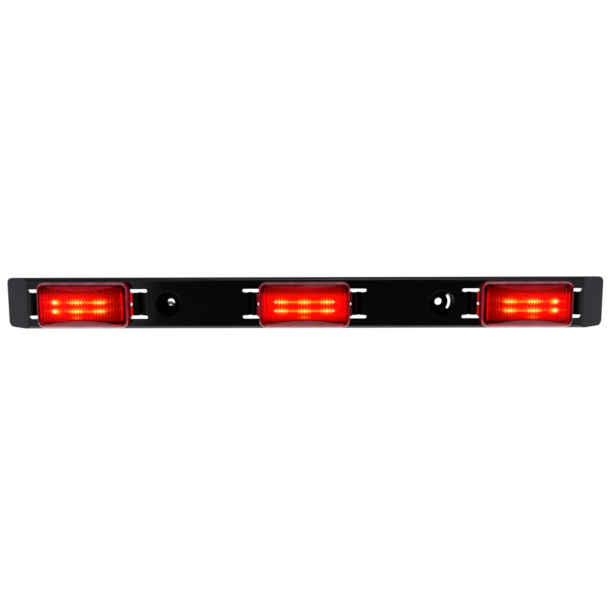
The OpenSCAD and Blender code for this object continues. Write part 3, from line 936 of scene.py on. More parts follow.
@dataclass(frozen=True)
class DiodePackage(Finish):
    """Body or dome of a lit diode."""

    colour: Colour = (0.85, 0.82, 0.76)
    light: Colour = (1.0, 0.2, 0.04)
    strength: float = 0.3
    roughness: float = 0.3

    def surface(self, tree: Tree) -> bpy.types.Node:
        """Light wanders slightly over the package."""
        uneven = tree.noise(self.object_place(tree), 900.0, 2.0)
        return tree.add("ShaderNodeBsdfPrincipled", {
            "Base Color": tree.blend(uneven, self.colour, tuple(0.8 * c for c in self.colour)),
            "Roughness": self.roughness,
            "Emission Color": tree.blend(uneven, self.light, tuple(0.7 * c for c in self.light)),
            "Emission Strength": self.strength,
        })


@dataclass(frozen=True)
class Chips(Finish):
    """Black chip bodies with tinned ends, told apart by a stripe along x."""

    pitch: float = 3.2 * MM

    def surface(self, tree: Tree) -> bpy.types.Node:
        """Ends of each chip are bright, the middle is black."""
        place = self.object_place(tree)
        turn = tree.product(tree.parts(place)["X"], 2 * math.pi / self.pitch)
        stripe = tree.ramp(tree.math("SINE", turn), 0.6, 0.75)
        uneven = tree.noise(place, 1800.0, 3.0)
        return tree.add("ShaderNodeBsdfPrincipled", {
            "Base Color": tree.blend(stripe, (0.02, 0.02, 0.022), (0.6, 0.6, 0.58)),
            "Metallic": stripe,
            "Roughness": tree.total(tree.product(uneven, 0.2), 0.3),
        })


@dataclass(frozen=True)
class TinnedMetal(Finish):
    """Tin-plated brass with a dark base colour, brushed by stamping, yellower where it is worn."""

    colour: Colour = (0.20, 0.195, 0.18)
    worn: Colour = (0.24, 0.18, 0.09)

    def surface(self, tree: Tree) -> bpy.types.Node:
        """Fine lines along x change the roughness, and worn patches show brass."""
        place = self.object_place(tree)
        stretched = tree.add("ShaderNodeMapping", {"Vector": place})
        stretched.inputs["Scale"].default_value = (120.0, 2600.0, 2600.0)
        lines = tree.noise(stretched.outputs[0], 1.0, 4.0)
        edges = EDGE_WEAR.place(tree, Place=place, Amount=0.8, Width=0.15 * MM)
        patches = tree.ramp(tree.noise(place, 260.0, 5.0), 0.55, 0.75, 0.0, 0.5)
        worn = tree.math("ADD", edges.outputs["Mask"], patches, clamp=True)
        return tree.add("ShaderNodeBsdfPrincipled", {
            "Base Color": tree.blend(worn, self.colour, self.worn),
            "Metallic": 1.0,
            "Roughness": tree.total(tree.product(lines, 0.14), 0.07),
            "Normal": self.bump(tree, lines, 0.01 * MM, edges.outputs["Rounded normal"]),
        })


@dataclass(frozen=True)
class Copper(Finish):
    """Bare ends of stranded wire."""

    def surface(self, tree: Tree) -> bpy.types.Node:
        """Strands show as small round cells."""
        cells = tree.add("ShaderNodeTexVoronoi", {"Vector": self.object_place(tree), "Scale": 3800.0})
        near = cells.outputs["Distance"]
        return tree.add("ShaderNodeBsdfPrincipled", {
            "Base Color": tree.blend(tree.ramp(near, 0.3, 0.6), (0.75, 0.36, 0.2), (0.25, 0.1, 0.05)),
            "Metallic": 1.0,
            "Roughness": tree.total(tree.product(near, 0.3), 0.25),
            "Normal": self.bump(tree, tree.less(1.0, near), 0.06 * MM),
        })


BAR_GLOSS = BarPlastic(
    "gloss_black_moulding", colour=(0.0030, 0.0026, 0.0029), worn=(0.012, 0.011, 0.012), smoothest=0.07,
    roughest=0.11, grain=0.012, dust=0.02, wear=0.35, edge_width=0.35 * MM,
)
# Painted shade: the tongues are the bar's own plastic, made a little darker and far less mirroring, standing
# in for the shade round each tongue.
SHADED_TONGUE_GLOSS = Moulded(
    "tongue_moulding_painted_shade", colour=(0.0024, 0.0021, 0.0024), worn=(0.010, 0.009, 0.010), smoothest=0.10,
    roughest=0.16, grain=0.015, dust=0.02, wear=0.0, specular=0.1,
)
HOUSING_BLACK = Moulded(
    "housing_moulding", colour=(0.012, 0.012, 0.013), worn=(0.04, 0.04, 0.042), smoothest=0.32,
    roughest=0.5, grain=0.5, dust=0.05, wear=0.5, edge_width=0.2 * MM,
)
EPOXY = Moulded(
    "potting_epoxy", colour=(0.012, 0.012, 0.012), smoothest=0.05, roughest=0.2, wave_depth=0.05 * MM,
    grain=0.02, dust=0.05, wear=0.0,
)
WIRE_BLACK = Moulded(
    "wire_insulation_black", colour=(0.012, 0.012, 0.013), smoothest=0.3, roughest=0.42, grain=0.4,
    grain_scale=1600.0, dust=0.12, wear=0.0,
)
WIRE_WHITE = Moulded(
    "wire_insulation_white", colour=(0.66, 0.65, 0.60), smoothest=0.3, roughest=0.45, grain=0.4,
    grain_scale=1600.0, dust=0.1, wear=0.0,
)
SPLICE_VINYL = Moulded(
    "splice_vinyl_red", colour=(0.42, 0.012, 0.016), smoothest=0.25, roughest=0.4, grain=0.2, dust=0.08,
    wear=0.0,
)
SLEEVE_RUBBER = Moulded(
    "socket_sleeve_black", colour=(0.014, 0.014, 0.015), smoothest=0.38, roughest=0.55, grain=0.6, dust=0.1,
    wear=0.0,
)
LENS_WALL = EdgeGlow(
    "lens_wall_red", colour=(0.16, 0.002, 0.004), roughness=0.10, clearness=0.6, specular=0.2,
    glow=(0.035, 0.0, 0.002),
)
DIODE_BODY = DiodePackage("diode_body")
DIODE_DOME = DiodePackage(
    "diode_dome", colour=(0.9, 0.7, 0.5), light=(1.0, 0.35, 0.06), strength=3.0, roughness=0.08,
)
CHIPS = Chips("chips")
TINNED = TinnedMetal("tinned_brass")
STRANDS = Copper("copper_strands")


def insulation(pole: Pole) -> tuple[Finish, str]:
    """Finish and material slot of the insulation on one pole's wires."""
    return (WIRE_BLACK, "wire_black") if pole is Pole.HOT else (WIRE_WHITE, "wire_white")


def finish_on(body: str, piece: Piece, finishes: Sequence[Finish], node: str) -> None:
    """Makes a piece that rides on a body.

    Args:
        body: the body that carries it.
        piece: the piece to make.
        finishes: one finish for each of its tones.
        node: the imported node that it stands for.
    """
    made = piece.make([finish.material() for finish in finishes])
    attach(made, body)
    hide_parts(node)


def give(node: str, finish: Finish) -> None:
    """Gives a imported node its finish.

    Args:
        node: the node's name.
        finish: the finish for all of its faces.
    """
    data = frame["nodes"][node].data
    if not data.materials:
        data.materials.append(None)
    for number in range(len(data.materials)):
        data.materials[number] = finish.material()
    LOG.info("%s: dressed in %s", node, finish.name)


# ---------- lamps ----------


@dataclass(frozen=True)
class RoundedPlan:
    """A rounded rectangle filled with rows and columns of points."""

    half_x: float
    half_y: float
    radius: float
    columns: int
    rows: int
    arc_rows: int

    def _arc(self) -> Array:
        """Angles of the rows in a corner, from the row after the straight side to the corner's end."""
        return np.linspace(0, QUARTER, self.arc_rows + 1)[1:]

    def grid(self) -> Array:
        """Points of the filled plan.

        A row's half length is half_x on the straight sides. In a corner it is half_x less radius times one
        minus the cosine of the row's angle, and the row's height is half_y less radius times one minus its
        sine.

        Returns:
            Array of rows by columns by (x, y).
        """
        arc = self._arc()
        arc_x = self.half_x - self.radius * (1 - np.cos(arc))
        arc_y = self.half_y - self.radius * (1 - np.sin(arc))
        straight = self.half_y - self.radius
        reach = np.concatenate([arc_x[::-1], np.full(self.rows, self.half_x), arc_x])
        level = np.concatenate([-arc_y[::-1], np.linspace(-straight, straight, self.rows), arc_y])
        across = reach[:, None] * np.linspace(-1, 1, self.columns)[None, :]
        return np.stack([across, np.broadcast_to(level[:, None], across.shape)], axis=-1)

    def edge(self) -> tuple[Array, Array]:
        """Outer points of the grid in order, as grid numbers, and the outward direction at each."""
        total = self.rows + 2 * self.arc_rows
        index = np.arange(total * self.columns).reshape(total, self.columns)
        arc = self._arc()
        turn = np.concatenate([-arc[::-1], np.zeros(self.rows), arc])
        right = np.stack([np.cos(turn), np.sin(turn)], axis=-1)
        left = right * [-1, 1]
        order = [index[0, :-1], index[:-1, -1], index[-1, :0:-1], index[:0:-1, 0]]
        flat = self.columns - 1
        outward = [np.tile([0.0, -1.0], (flat, 1)), right[:-1], np.tile([0.0, 1.0], (flat, 1)), left[:0:-1]]
        return np.concatenate(order), np.vstack(outward)


@dataclass
class Lens:
    """Red lens with an arched front, long bevels, a soft rim, flutes inside and an ear at each end."""

    lamp: Lamp
    ear_reach: float = 1.6 * MM
    ear_thickness: float = 1.8 * MM
    ear_half_height: float = 8.6 * MM
    ear_lift: float = 0.1 * MM
    ear_root: float = 0.3 * MM
    ear_corner: float = 0.5 * MM
    ear_soft: float = 0.35 * MM
    notch_half: float = 0.95 * MM
    side_height: float = 6.9 * MM
    end_crown: float = 0.5 * MM
    bevel: float = 5.4 * MM
    crease: float = 0.28 * MM
    arch_fade: float = 0.25 * MM
    corner_radius: float = 5.2 * MM
    rim_radius: float = 1.5 * MM
    inner_rim_radius: float = 0.8 * MM
    thickness: float = 2.0 * MM
    flute_pitch: float = 1.9 * MM
    flute_depth: float = 0.38 * MM
    columns: int = 241
    rows: int = 56
    arc_rows: int = 7
    rim_steps: int = 6
    wall_steps: int = 4

    def __post_init__(self) -> None:
        """Reads the lens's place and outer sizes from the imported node."""
        room = Room.of(f"lens_{self.lamp.label}")
        self.centre = room.centre
        self.half_x = room.size[0] / 2 - self.ear_reach
        self.half_y = room.size[1] / 2
        self.skirt = room.low[2]
        self.front = room.high[2]
        self.side_top = self.skirt + self.side_height
        self.slope = (self.front - self.side_top) / self.bevel

    def arch_and_bevels(self, x: Array, y: Array) -> tuple[Array, Array]:
        """Heights, on the outer skin, of the arch and of the bevel planes at some places.

        The arch is a circle along x through the front's middle and its two ends. The planes rise from the
        long sides.
        """
        rise = self.front - self.side_top - self.end_crown
        radius = (self.half_x**2 + rise**2) / (2 * rise)
        arch = self.front - radius + np.sqrt(radius**2 - np.minimum(np.abs(x), self.half_x) ** 2)
        return arch, self.side_top + (self.half_y - np.abs(y)) * self.slope

    def front_height(self, x: Array, y: Array, sunk: float = 0.0) -> Array:
        """Height of the front before its rim is rounded: the soft minimum of the arch and the bevels.

        Args:
            x: places along the lens from its centre.
            y: places up the lens from its centre.
            sunk: how far below the outer skin the surface lies.

        Returns:
            Heights, in the bar's axes.
        """
        arch, planes = self.arch_and_bevels(x, y)
        arch = arch - sunk
        planes = planes - sunk * math.hypot(1, self.slope)
        if sunk > 0:
            arch = arch - self.flute_relief(x)
        return -self.crease * np.logaddexp(-arch / self.crease, -planes / self.crease)

    def flute_relief(self, x: Array) -> Array:
        """How far each upright flute stands in from the inner face: a parabola over every pitch of x."""
        phase = x / self.flute_pitch - np.round(x / self.flute_pitch)
        return self.flute_depth * (1 - 4 * phase**2)

    def on_arch(self, x: Array, y: Array) -> Array:
        """Share of the arch in the front at a place: 1 on the arch, 0 on the bevels, smooth between."""
        arch, planes = self.arch_and_bevels(x, y)
        return 1 / (1 + np.exp(np.clip((arch - planes) / self.arch_fade, -40, 40)))

    def skin(self, piece: Piece, sunk: float, rim: float, tone: int, wall_tone: int) -> Array:
        """Adds one side of the shell: the front, the rounded rim and the side walls down to the skirt.

        The rim carries the edge of the front outwards by the rim radius times a sine, and down by the rim
        radius times one minus the cosine, over a quarter turn. The walls run straight down from there.

        Args:
            piece: the piece to add to.
            sunk: distance in from the outer skin, 0 for the outer skin itself.
            rim: radius of the rim on this side.
            tone: which of the piece's finishes the front takes.
            wall_tone: which of them the walls and the rim's last step take.

        Returns:
            The numbers of the skirt's points, in order.
        """
        plan = RoundedPlan(
            self.half_x - sunk - rim, self.half_y - sunk - rim, self.corner_radius - sunk - rim,
            self.columns, self.rows, self.arc_rows,
        )
        grid = plan.grid()
        height = self.front_height(grid[..., 0], grid[..., 1], sunk)
        edge, outward = plan.edge()
        start = grid.reshape(-1, 2)[edge]
        turn = np.linspace(0, QUARTER, self.rim_steps + 1)[1:]
        ring_plan = start[None] + rim * np.sin(turn)[:, None, None] * outward[None]
        ring_height = self.front_height(ring_plan[..., 0], ring_plan[..., 1], sunk)
        ring_height = ring_height - rim * (1 - np.cos(turn))[:, None]
        down = np.linspace(1, 0, self.wall_steps + 1)[1:, None]
        wall_height = self.skirt + (ring_height[-1][None] - self.skirt) * down
        wall_plan = np.broadcast_to(ring_plan[-1][None], (self.wall_steps, *start.shape))
        rings = np.vstack([ring_plan, wall_plan])
        ring_z = np.vstack([ring_height, wall_height])

        top = np.concatenate([grid, height[..., None]], axis=-1)
        low = np.concatenate([rings, ring_z[..., None]], axis=-1)
        share = self.on_arch(grid[..., 0], grid[..., 1])
        marks = np.concatenate([grid / MM, share[..., None]], axis=-1)
        rim_share = self.on_arch(rings[..., 0], rings[..., 1]) if sunk > 0 else np.full_like(ring_z, -1.0)
        rim_marks = np.concatenate([rings / MM, rim_share[..., None]], axis=-1)

        shape = grid.shape[:2]
        index = np.arange(shape[0] * shape[1]).reshape(shape)
        quads = np.stack([index[:-1, :-1], index[:-1, 1:], index[1:, 1:], index[1:, :-1]], axis=-1)
        first = piece.add(top + self.centre * [1, 1, 0], quads.reshape(-1, 4), tone, marks)
        ring_rows = piece.loops(low + self.centre * [1, 1, 0], tone, rim_marks)
        previous = first + edge
        for number, current in enumerate(ring_rows):
            piece.bridge(previous, current, tone if number < self.rim_steps - 1 else wall_tone)
            previous = current
        return previous

    def ear(self, piece: Piece, end: int, half: int) -> None:
        """Adds one prong of an end ear: a block with rounded edges that grows out of the side wall.

        Args:
            piece: the piece to add to.
            end: -1 for the left end of the lens, 1 for the right.
            half: -1 for the lower prong, 1 for the upper.
        """
        size = np.array([self.ear_reach + self.ear_root, self.ear_half_height - self.notch_half]) / 2
        middle_x = self.half_x - self.ear_root + size[0]
        middle_y = self.notch_half + size[1]
        turn = np.linspace(0, QUARTER, 4)
        rising, falling = self.ear_soft * (1 - np.cos(turn)), self.ear_soft * (1 - np.sin(turn))
        inset = np.concatenate([falling, rising])
        level = np.concatenate([rising, self.ear_thickness - falling])
        loops = np.stack([
            rounded_loop(size[0] - i, size[1] - i, self.ear_corner - i * 0.5) + [0, 0, z]
            for i, z in zip(inset, level)
        ])
        marks = np.zeros_like(loops)
        marks[..., 0] = (middle_x + loops[..., 0] - self.half_x) / MM
        loops[..., 0] = self.centre[0] + end * (middle_x + loops[..., 0])
        loops[..., 1] = self.centre[1] + half * (middle_y + loops[..., 1])
        loops[..., 2] += self.skirt + self.ear_lift
        piece.loft(loops, 3 if end < 0 else 4, marks)

    def ear_finish(self, end: int) -> EarGlow:
        """Finish of one end's ear. Its glow strength is painted light, given one by one for each lamp and
        end, so alike ears glow brighter or dimmer by where their lamp sits on the bar.
        """
        painted_ear_glow = {
            (Lamp.LEFT, 1): 0.8, (Lamp.CENTRE, -1): 0.25, (Lamp.CENTRE, 1): 0.03, (Lamp.RIGHT, -1): 0.5,
        }
        name = f"lens_ear_{self.lamp.label}_{'left' if end < 0 else 'right'}"
        return EarGlow(
            name, colour=(0.20, 0.002, 0.004), glow=(1.0, 0.006, 0.008), clearness=0.3, specular=0.2,
            strength=painted_ear_glow.get((self.lamp, end), 0.1),
        )

    def build(self) -> None:
        """Makes the lens as one closed shell with its ears, riding on its lamp."""
        label = self.lamp.label
        piece = Piece(f"lens_shell_{label}")
        outer = self.skin(piece, 0.0, self.rim_radius, 0, 2)
        inner = self.skin(piece, self.thickness, self.inner_rim_radius, 1, 2)
        piece.bridge(outer, inner, 2)
        for end in (-1, 1):
            for half in (-1, 1):
                self.ear(piece, end, half)
        inside = FlutedGlow(f"lens_flutes_{label}", lean=self.lamp.lean, specular=0.15)
        # painted rim highlight: brighter on the outer lamps than on the centre one
        skin = LensSkin(f"lens_skin_{label}", rim_highlight_strength=0.8 if self.lamp.lean else 0.38)
        finishes = [skin, inside, LENS_WALL, self.ear_finish(-1), self.ear_finish(1)]
        finish_on(f"lamp_{label}", piece, finishes, f"lens_{label}")


@dataclass
class Diodes:
    """Two rows of light-emitting diodes, each a moulded body with a cup and a clear dome."""

    lamp: Lamp
    body_half: float = 1.7 * MM
    body_height: float = 1.1 * MM
    dome_radius: float = 1.3 * MM
    dome_foot: float = 1.15 * MM
    chamfer: float = 0.12 * MM
    cup_top: float = 1.45 * MM
    cup_floor: float = 1.2 * MM
    cup_depth: float = 0.45 * MM
    columns: int = 3
    rows: int = 2

    def __post_init__(self) -> None:
        """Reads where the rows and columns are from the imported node."""
        self.room = Room.of(f"leds_{self.lamp.label}")

    def places(self) -> list[tuple[float, float]]:
        """Middle of each diode, column by column."""
        low, high = self.room.low + self.body_half, self.room.high - self.body_half
        across = np.linspace(low[0], high[0], self.columns)
        up = np.linspace(low[1], high[1], self.rows)
        return [(x, y) for x in across for y in up]

    def body_loops(self) -> Array:
        """A block whose plan morphs from a rounded square outside to the round cup inside."""
        square = rounded_loop(1, 1, 0.18, 5)
        ring = square / np.linalg.norm(square, axis=1, keepdims=True)
        half, top = self.body_half, self.body_height
        loops = np.stack([
            square * half, square * half, square * (half - self.chamfer), ring * self.cup_top,
            ring * self.cup_floor,
        ])
        levels = np.array([0.0, top - self.chamfer, top, top, top - self.cup_depth])
        loops[..., 2] = levels[:, None]
        return loops

    def dome_loops(self) -> Array:
        """A lathe shape: a short cylinder, then radius times (cosine, sine) up to the pole."""
        turn = np.linspace(0, QUARTER * 0.985, 10)
        base = self.body_height - 0.4 * MM
        spring = self.room.size[2] - self.dome_radius
        profile = [(self.dome_foot, base), (self.dome_radius * 0.92, spring - 0.2 * MM)]
        profile += [(self.dome_radius * math.cos(t), spring + self.dome_radius * math.sin(t)) for t in turn]
        return lathe_loops(profile, 24)

    def build(self) -> None:
        """Makes all the diodes of a lamp as one piece."""
        label = self.lamp.label
        piece = Piece(f"diodes_{label}")
        for x, y in self.places():
            place = np.array([x, y, self.room.low[2]])
            piece.loft(self.body_loops() + place, 0)
            piece.loft(self.dome_loops() + place, 1)
        finish_on(f"lamp_{label}", piece, [DIODE_BODY, DIODE_DOME], f"leds_{label}")


@dataclass
class Lead:
    """One lead of a lamp: out of the housing's back, round a bend and into its splice."""

    lamp: Lamp
    pole: Pole
    radius: float = 1.08 * MM
    steps: int = 10

    def route(self) -> Array:
        """Points along the lead's middle, from inside the housing to inside the splice."""
        room = Room.of(f"{self.pole.label}_lead_{self.lamp.label}")
        side = self.pole.side
        x = room.centre[0]
        near, far = (room.low[1], room.high[1]) if side > 0 else (room.high[1], room.low[1])
        start_y = near + side * self.radius
        low = room.low[2] + self.radius
        return smooth_path([
            (x, start_y, room.high[2]),
            (x, start_y, low + 3.4 * MM),
            (x + 0.5 * MM, start_y + side * 0.5 * MM, low + 1.1 * MM),
            (x + 1.1 * MM, start_y + side * 2.4 * MM, low - 0.1 * MM),
            (x + 0.4 * MM, far - side * 2.0 * MM, low),
            (x, far + side * 0.6 * MM, low),
        ], self.steps)

    def build(self) -> None:
        """Makes the lead, from its lamp to its splice."""
        route = self.route()
        piece = Piece(f"{self.pole.label}_lead_wire_{self.lamp.label}")
        piece.loft(tube_loops(route, self.radius))
        finish, slot = insulation(self.pole)
        made = piece.make([finish.material()])
        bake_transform(made)
        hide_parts(f"{self.pole.label}_lead_{self.lamp.label}")


@dataclass
class LampUnit:
    """A whole lamp: its lens, diodes, board, chips, housing, potting and leads."""

    lamp: Lamp

    def dress(self) -> None:
        """Gives this lamp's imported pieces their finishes."""
        label = self.lamp.label
        board = f"circuit_board_{label}"
        low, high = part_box(board)
        give(board, LitBoard(f"lit_board_{label}", centre=tuple((low + high) / 2), lean=self.lamp.lean))
        give(f"housing_{label}", HOUSING_BLACK)
        give(f"resistors_{label}", CHIPS)
        give(f"potting_{label}", EPOXY)

    def build(self) -> None:
        """Makes the pieces that stand for packed ones, and dresses the rest."""
        Lens(self.lamp).build()
        Diodes(self.lamp).build()
        for pole in Pole:
            Lead(self.lamp, pole).build()
        self.dress()


# ---------- bar ----------


@dataclass
class Tongue:
    """A latch tongue: a flat lip, a springing wave, and a thin root that grows out of the bar's plate."""

    node: str
    body: str
    lip_share: float = 0.43
    lip_thickness: float = 1.25 * MM
    root_thickness: float = 0.95 * MM
    root_run: float = 1.75 * MM
    root_radius: float = 1.1 * MM
    notch_half: float = 0.95 * MM
    notch_depth: float = 0.6 * MM
    notch_fade: float = 0.06 * MM
    chamfer: float = 1.2 * MM
    soft: float = 0.25 * MM
    tip_soft: float = 0.35 * MM
    stations: int = 61
    samples: int = 49

    def __post_init__(self) -> None:
        """Reads which way the tongue points, and its place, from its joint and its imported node."""
        joint = next(j for j in frame["joints"] if j["child"] == self.body)
        self.room = Room.of(self.node)
        self.root_x = joint["pos_m"][0]
        self.side = 1 if self.root_x > self.room.centre[0] else -1
        self.tip_x = self.room.low[0] if self.side > 0 else self.room.high[0]
        self.length = abs(self.root_x - self.tip_x)
        self.top = self.room.high[2]
        self.dip = self.room.size[2] - self.lip_thickness - 0.3 * MM

    def middle_line(self) -> tuple[Array, Array, Array]:
        """Line along the tongue from tip to root, in its own terms.

        The line lies half a thickness below the top. Past the lip it drops by the dip times the square of a
        sine that runs over half a turn between lip and root. The thickness goes from the lip's to the
        root's along the same stretch.

        Returns:
            Distance from the tip, height and thickness at each sample.
        """
        along = np.linspace(0, self.length + self.root_run, self.samples)
        lip = self.lip_share * self.length
        share = np.clip((along - lip) / (self.length - lip), 0, 1)
        thickness = self.lip_thickness + (self.root_thickness - self.lip_thickness) * share
        height = self.top - thickness / 2 - self.dip * np.sin(math.pi * share) ** 2
        return along, height, thickness

    def outline(self) -> Array:
        """Closed outline across the tongue: the top of the line out, its underside back, ends rounded."""
        along, height, thickness = self.middle_line()
        slope = np.gradient(height, along)
        square = np.stack([-slope, np.ones_like(slope)], axis=-1) / np.hypot(slope, 1)[:, None]
        line = np.stack([along, height], axis=-1)
        upper = line + square * thickness[:, None] / 2
        lower = line - square * thickness[:, None] / 2
        turn = np.linspace(0, math.pi, 9)[1:-1]
        tip = line[0] + np.stack([-self.tip_soft * np.sin(turn), -thickness[0] / 2 * np.cos(turn)], axis=-1)
        for end in (tip[:, 0], upper[:1, 0], lower[:1, 0]):
            end += self.tip_soft
        return np.vstack([upper, lower[::-1], tip])

    def cut_back(self, y: Array) -> Array:
        """How far the tip is cut back at each height: a release notch in the middle, chamfers outside."""
        half = self.room.size[1] / 2
        past = np.clip((np.abs(y) - self.notch_half) / self.notch_fade, -40, 40)
        notch = self.notch_depth / (1 + np.exp(past))
        corner = np.clip(np.abs(y) - (half - self.chamfer), 0, None)
        return notch + corner

    def build(self) -> None:
        """Makes the tongue."""
        outline = self.outline()
        half = self.room.size[1] / 2
        inner = np.linspace(-(half - self.soft), half - self.soft, self.stations)
        turn = np.linspace(0, QUARTER, 4)[:-1]
        lower_edge = -half + self.soft * (1 - np.sin(turn))
        places = np.concatenate([lower_edge, inner, -lower_edge[::-1]])
        fading = np.cos(turn)
        pinch = np.concatenate([fading, np.zeros(self.stations), fading[::-1]]) * self.soft * 0.5
        along, height, _ = self.middle_line()
        core = np.interp(outline[:, 0], along, height)
        offset = outline[:, 1] - core
        pinched = np.maximum(np.abs(offset)[None] - pinch[:, None], 0)
        reach = np.clip(1 - outline[:, 0] / (self.lip_share * self.length), 0, 1)
        loops = np.empty((len(places), len(outline), 3))
        out = outline[None, :, 0] + reach[None] * self.cut_back(places)[:, None]
        loops[..., 0] = self.tip_x + self.side * out
        loops[..., 1] = places[:, None] + self.room.centre[1]
        loops[..., 2] = core[None] + np.sign(offset)[None] * pinched
        piece = Piece(self.node.replace("latch", "spring_tongue"))
        piece.loft(loops)
        made = piece.make([SHADED_TONGUE_GLOSS.material()])
        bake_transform(made)
        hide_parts(self.node)


@dataclass
class Trunk:
    """A trunk wire along one long side of the bar, with its splices."""

    pole: Pole
    radius: float = 1.1 * MM
    sag: float = 0.22 * MM
    strand_share: float = 0.62
    strand_out: float = 0.02 * MM
    crimp_depth: float = 0.22 * MM
    crimp_at: float = 0.22
    crimp_width: float = 0.07
    mouth_flare: float = 0.16 * MM
    mouth_width: float = 0.04
    round_points: int = 28

    def __post_init__(self) -> None:
        """Reads the wire's and the splices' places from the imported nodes."""
        self.room = Room.of(f"{self.pole.label}_trunk")
        self.sleeves = Room.of(f"{self.pole.label}_splices")

    def splice_centres(self) -> list[float]:
        """Middle of each splice along the bar: one beside each lead, and one at the tail."""
        leads = [Room.of(f"{self.pole.label}_lead_{lamp.label}").centre[0] for lamp in Lamp]
        tail = Room.of(f"{self.pole.label}_tail")
        at_tail = tail.low[0] + self.radius if self.pole is Pole.HOT else tail.high[0] - self.radius
        return [*leads, at_tail]

    def wire(self) -> None:
        """Makes the wire: a tube with a slight wander and copper strands at its cut ends."""
        ends = self.room.low[0], self.room.high[0]
        x = np.linspace(*ends, 161)
        phase = (x - ends[0]) / (ends[1] - ends[0])
        wander = self.sag * np.sin(phase * 19.0) * np.sin(phase * 5.3)
        path = np.stack([x, np.full_like(x, self.room.centre[1]), self.room.centre[2] + wander], axis=-1)
        piece = Piece(f"{self.pole.label}_trunk_wire")
        piece.loft(tube_loops(path, self.radius, 16))
        strands = path[[0, -1]] + np.array([[self.strand_out, 0, 0], [-self.strand_out, 0, 0]])
        piece.loft(tube_loops(strands, self.strand_share * self.radius, 12), 1)
        finish, slot = insulation(self.pole)
        finish_on("bar", piece, [finish, STRANDS], f"{self.pole.label}_trunk")

    def splice_loops(self, length: float) -> Array:
        """A sleeve along x, squeezed at its two crimps, with belled mouths.

        The radius is the sleeve's own, less the crimp depth times two bell curves; the squeeze flattens it
        along z and lets it spread along y.
        """
        along = np.linspace(-length / 2, length / 2, 41)
        share = np.abs(along / length)
        crimp = self.crimp_depth * np.exp(-(((share - self.crimp_at) / self.crimp_width) ** 2))
        mouth = self.mouth_flare * np.exp(-(((0.5 - share) / self.mouth_width) ** 2))
        ring = circle_loop(self.round_points)
        wide = self.sleeves.size[1] / 2 - self.mouth_flare + mouth
        loops = np.zeros((along.size, self.round_points, 3))
        loops[..., 0] = along[:, None]
        loops[..., 1] = ring[None, :, 0] * (wide + 0.25 * crimp)[:, None]
        loops[..., 2] = ring[None, :, 1] * (wide - 1.6 * crimp)[:, None]
        mouth_ring = loops[[0, -1]] * [1, 0.72, 0.72]
        return np.concatenate([mouth_ring[:1], loops, mouth_ring[1:]])

    def splices(self) -> None:
        """Makes the crimped splices of this trunk."""
        centres = self.splice_centres()
        length = abs(2 * (max(centres) - self.sleeves.high[0]))
        piece = Piece(f"{self.pole.label}_crimped_splices", crease_deg=50.0)
        for x in centres:
            piece.loft(self.splice_loops(length) + [x, *self.sleeves.centre[1:]])
        finish_on("bar", piece, [SPLICE_VINYL], f"{self.pole.label}_splices")

    def build(self) -> None:
        """Makes the wire and its splices."""
        self.wire()
        self.splices()


@dataclass
class SupplyTail:
    """The wire from the hot trunk to the vehicle's feed, with its bullet socket."""

    radius: float = 1.08 * MM
    dip: float = 2.5 * MM
    mouth: float = 1.95 * MM
    bore_start: float = 7.0 * MM
    ridge_depth: float = 0.16 * MM
    ridge_pitch: float = 1.4 * MM

    def __post_init__(self) -> None:
        """Reads the places of the trunk, the tail and the socket."""
        self.trunk = Room.of("hot_trunk")
        self.tail = Room.of("hot_tail")
        self.socket = Room.of("supply_socket")

    def wire(self) -> None:
        """Makes the wire: out of its splice, down behind a tongue and along to the socket."""
        x, end_x = self.tail.low[0] + self.radius, self.socket.low[0]
        trunk_y, trunk_z = self.trunk.centre[1:]
        end_y, end_z = self.socket.centre[1:]
        low_y = end_y - self.dip
        route = smooth_path([
            (x, trunk_y - 1.4 * MM, trunk_z),
            (x, trunk_y - 3.9 * MM, trunk_z),
            (x + 1.5 * MM, low_y + 1.7 * MM, trunk_z),
            (x + 5.5 * MM, low_y, trunk_z),
            ((x + end_x) / 2, low_y + 0.3 * MM, trunk_z + 0.3 * MM),
            (end_x - 4 * MM, end_y, end_z),
            (end_x + 0.6 * MM, end_y, end_z),
        ], 10)
        piece = Piece("hot_tail_wire")
        piece.loft(tube_loops(route, self.radius))
        finish_on("bar", piece, [WIRE_BLACK], "hot_tail")

    def sleeve(self) -> None:
        """Makes the socket: a turned sleeve about x with grip ridges, a soft mouth and a bore."""
        length = self.socket.size[0]
        radius = self.socket.size[1] / 2
        turn = np.linspace(0, math.pi, 7)
        lip = (radius - self.mouth) / 2
        rim = [(self.mouth + lip - lip * math.cos(t), length - lip + lip * math.sin(t)) for t in turn]
        x = np.linspace(length - 1.2 * MM, 4.6 * MM, 60)
        ridged = (x < 14 * MM) * (x > 5.5 * MM)
        outer = radius - self.ridge_depth * ridged * (1 + np.cos(2 * math.pi * x / self.ridge_pitch))
        profile = [(self.mouth, self.bore_start), *rim, *zip(outer.tolist(), x.tolist())]
        profile += [(0.97 * radius, 4.0 * MM), (0.82 * radius, 2.0 * MM), (0.69 * radius, 0.2 * MM)]
        profile += [(0.62 * radius, 0.0)]
        loops = lathe_loops(profile, 28)[..., [2, 0, 1]]
        start = np.array([self.socket.low[0], *self.socket.centre[1:]])
        piece = Piece("bullet_socket_sleeve")
        piece.loft(loops + start)
        finish_on("bar", piece, [SLEEVE_RUBBER], "supply_socket")

    def build(self) -> None:
        """Makes the wire and its socket."""
        self.wire()
        self.sleeve()


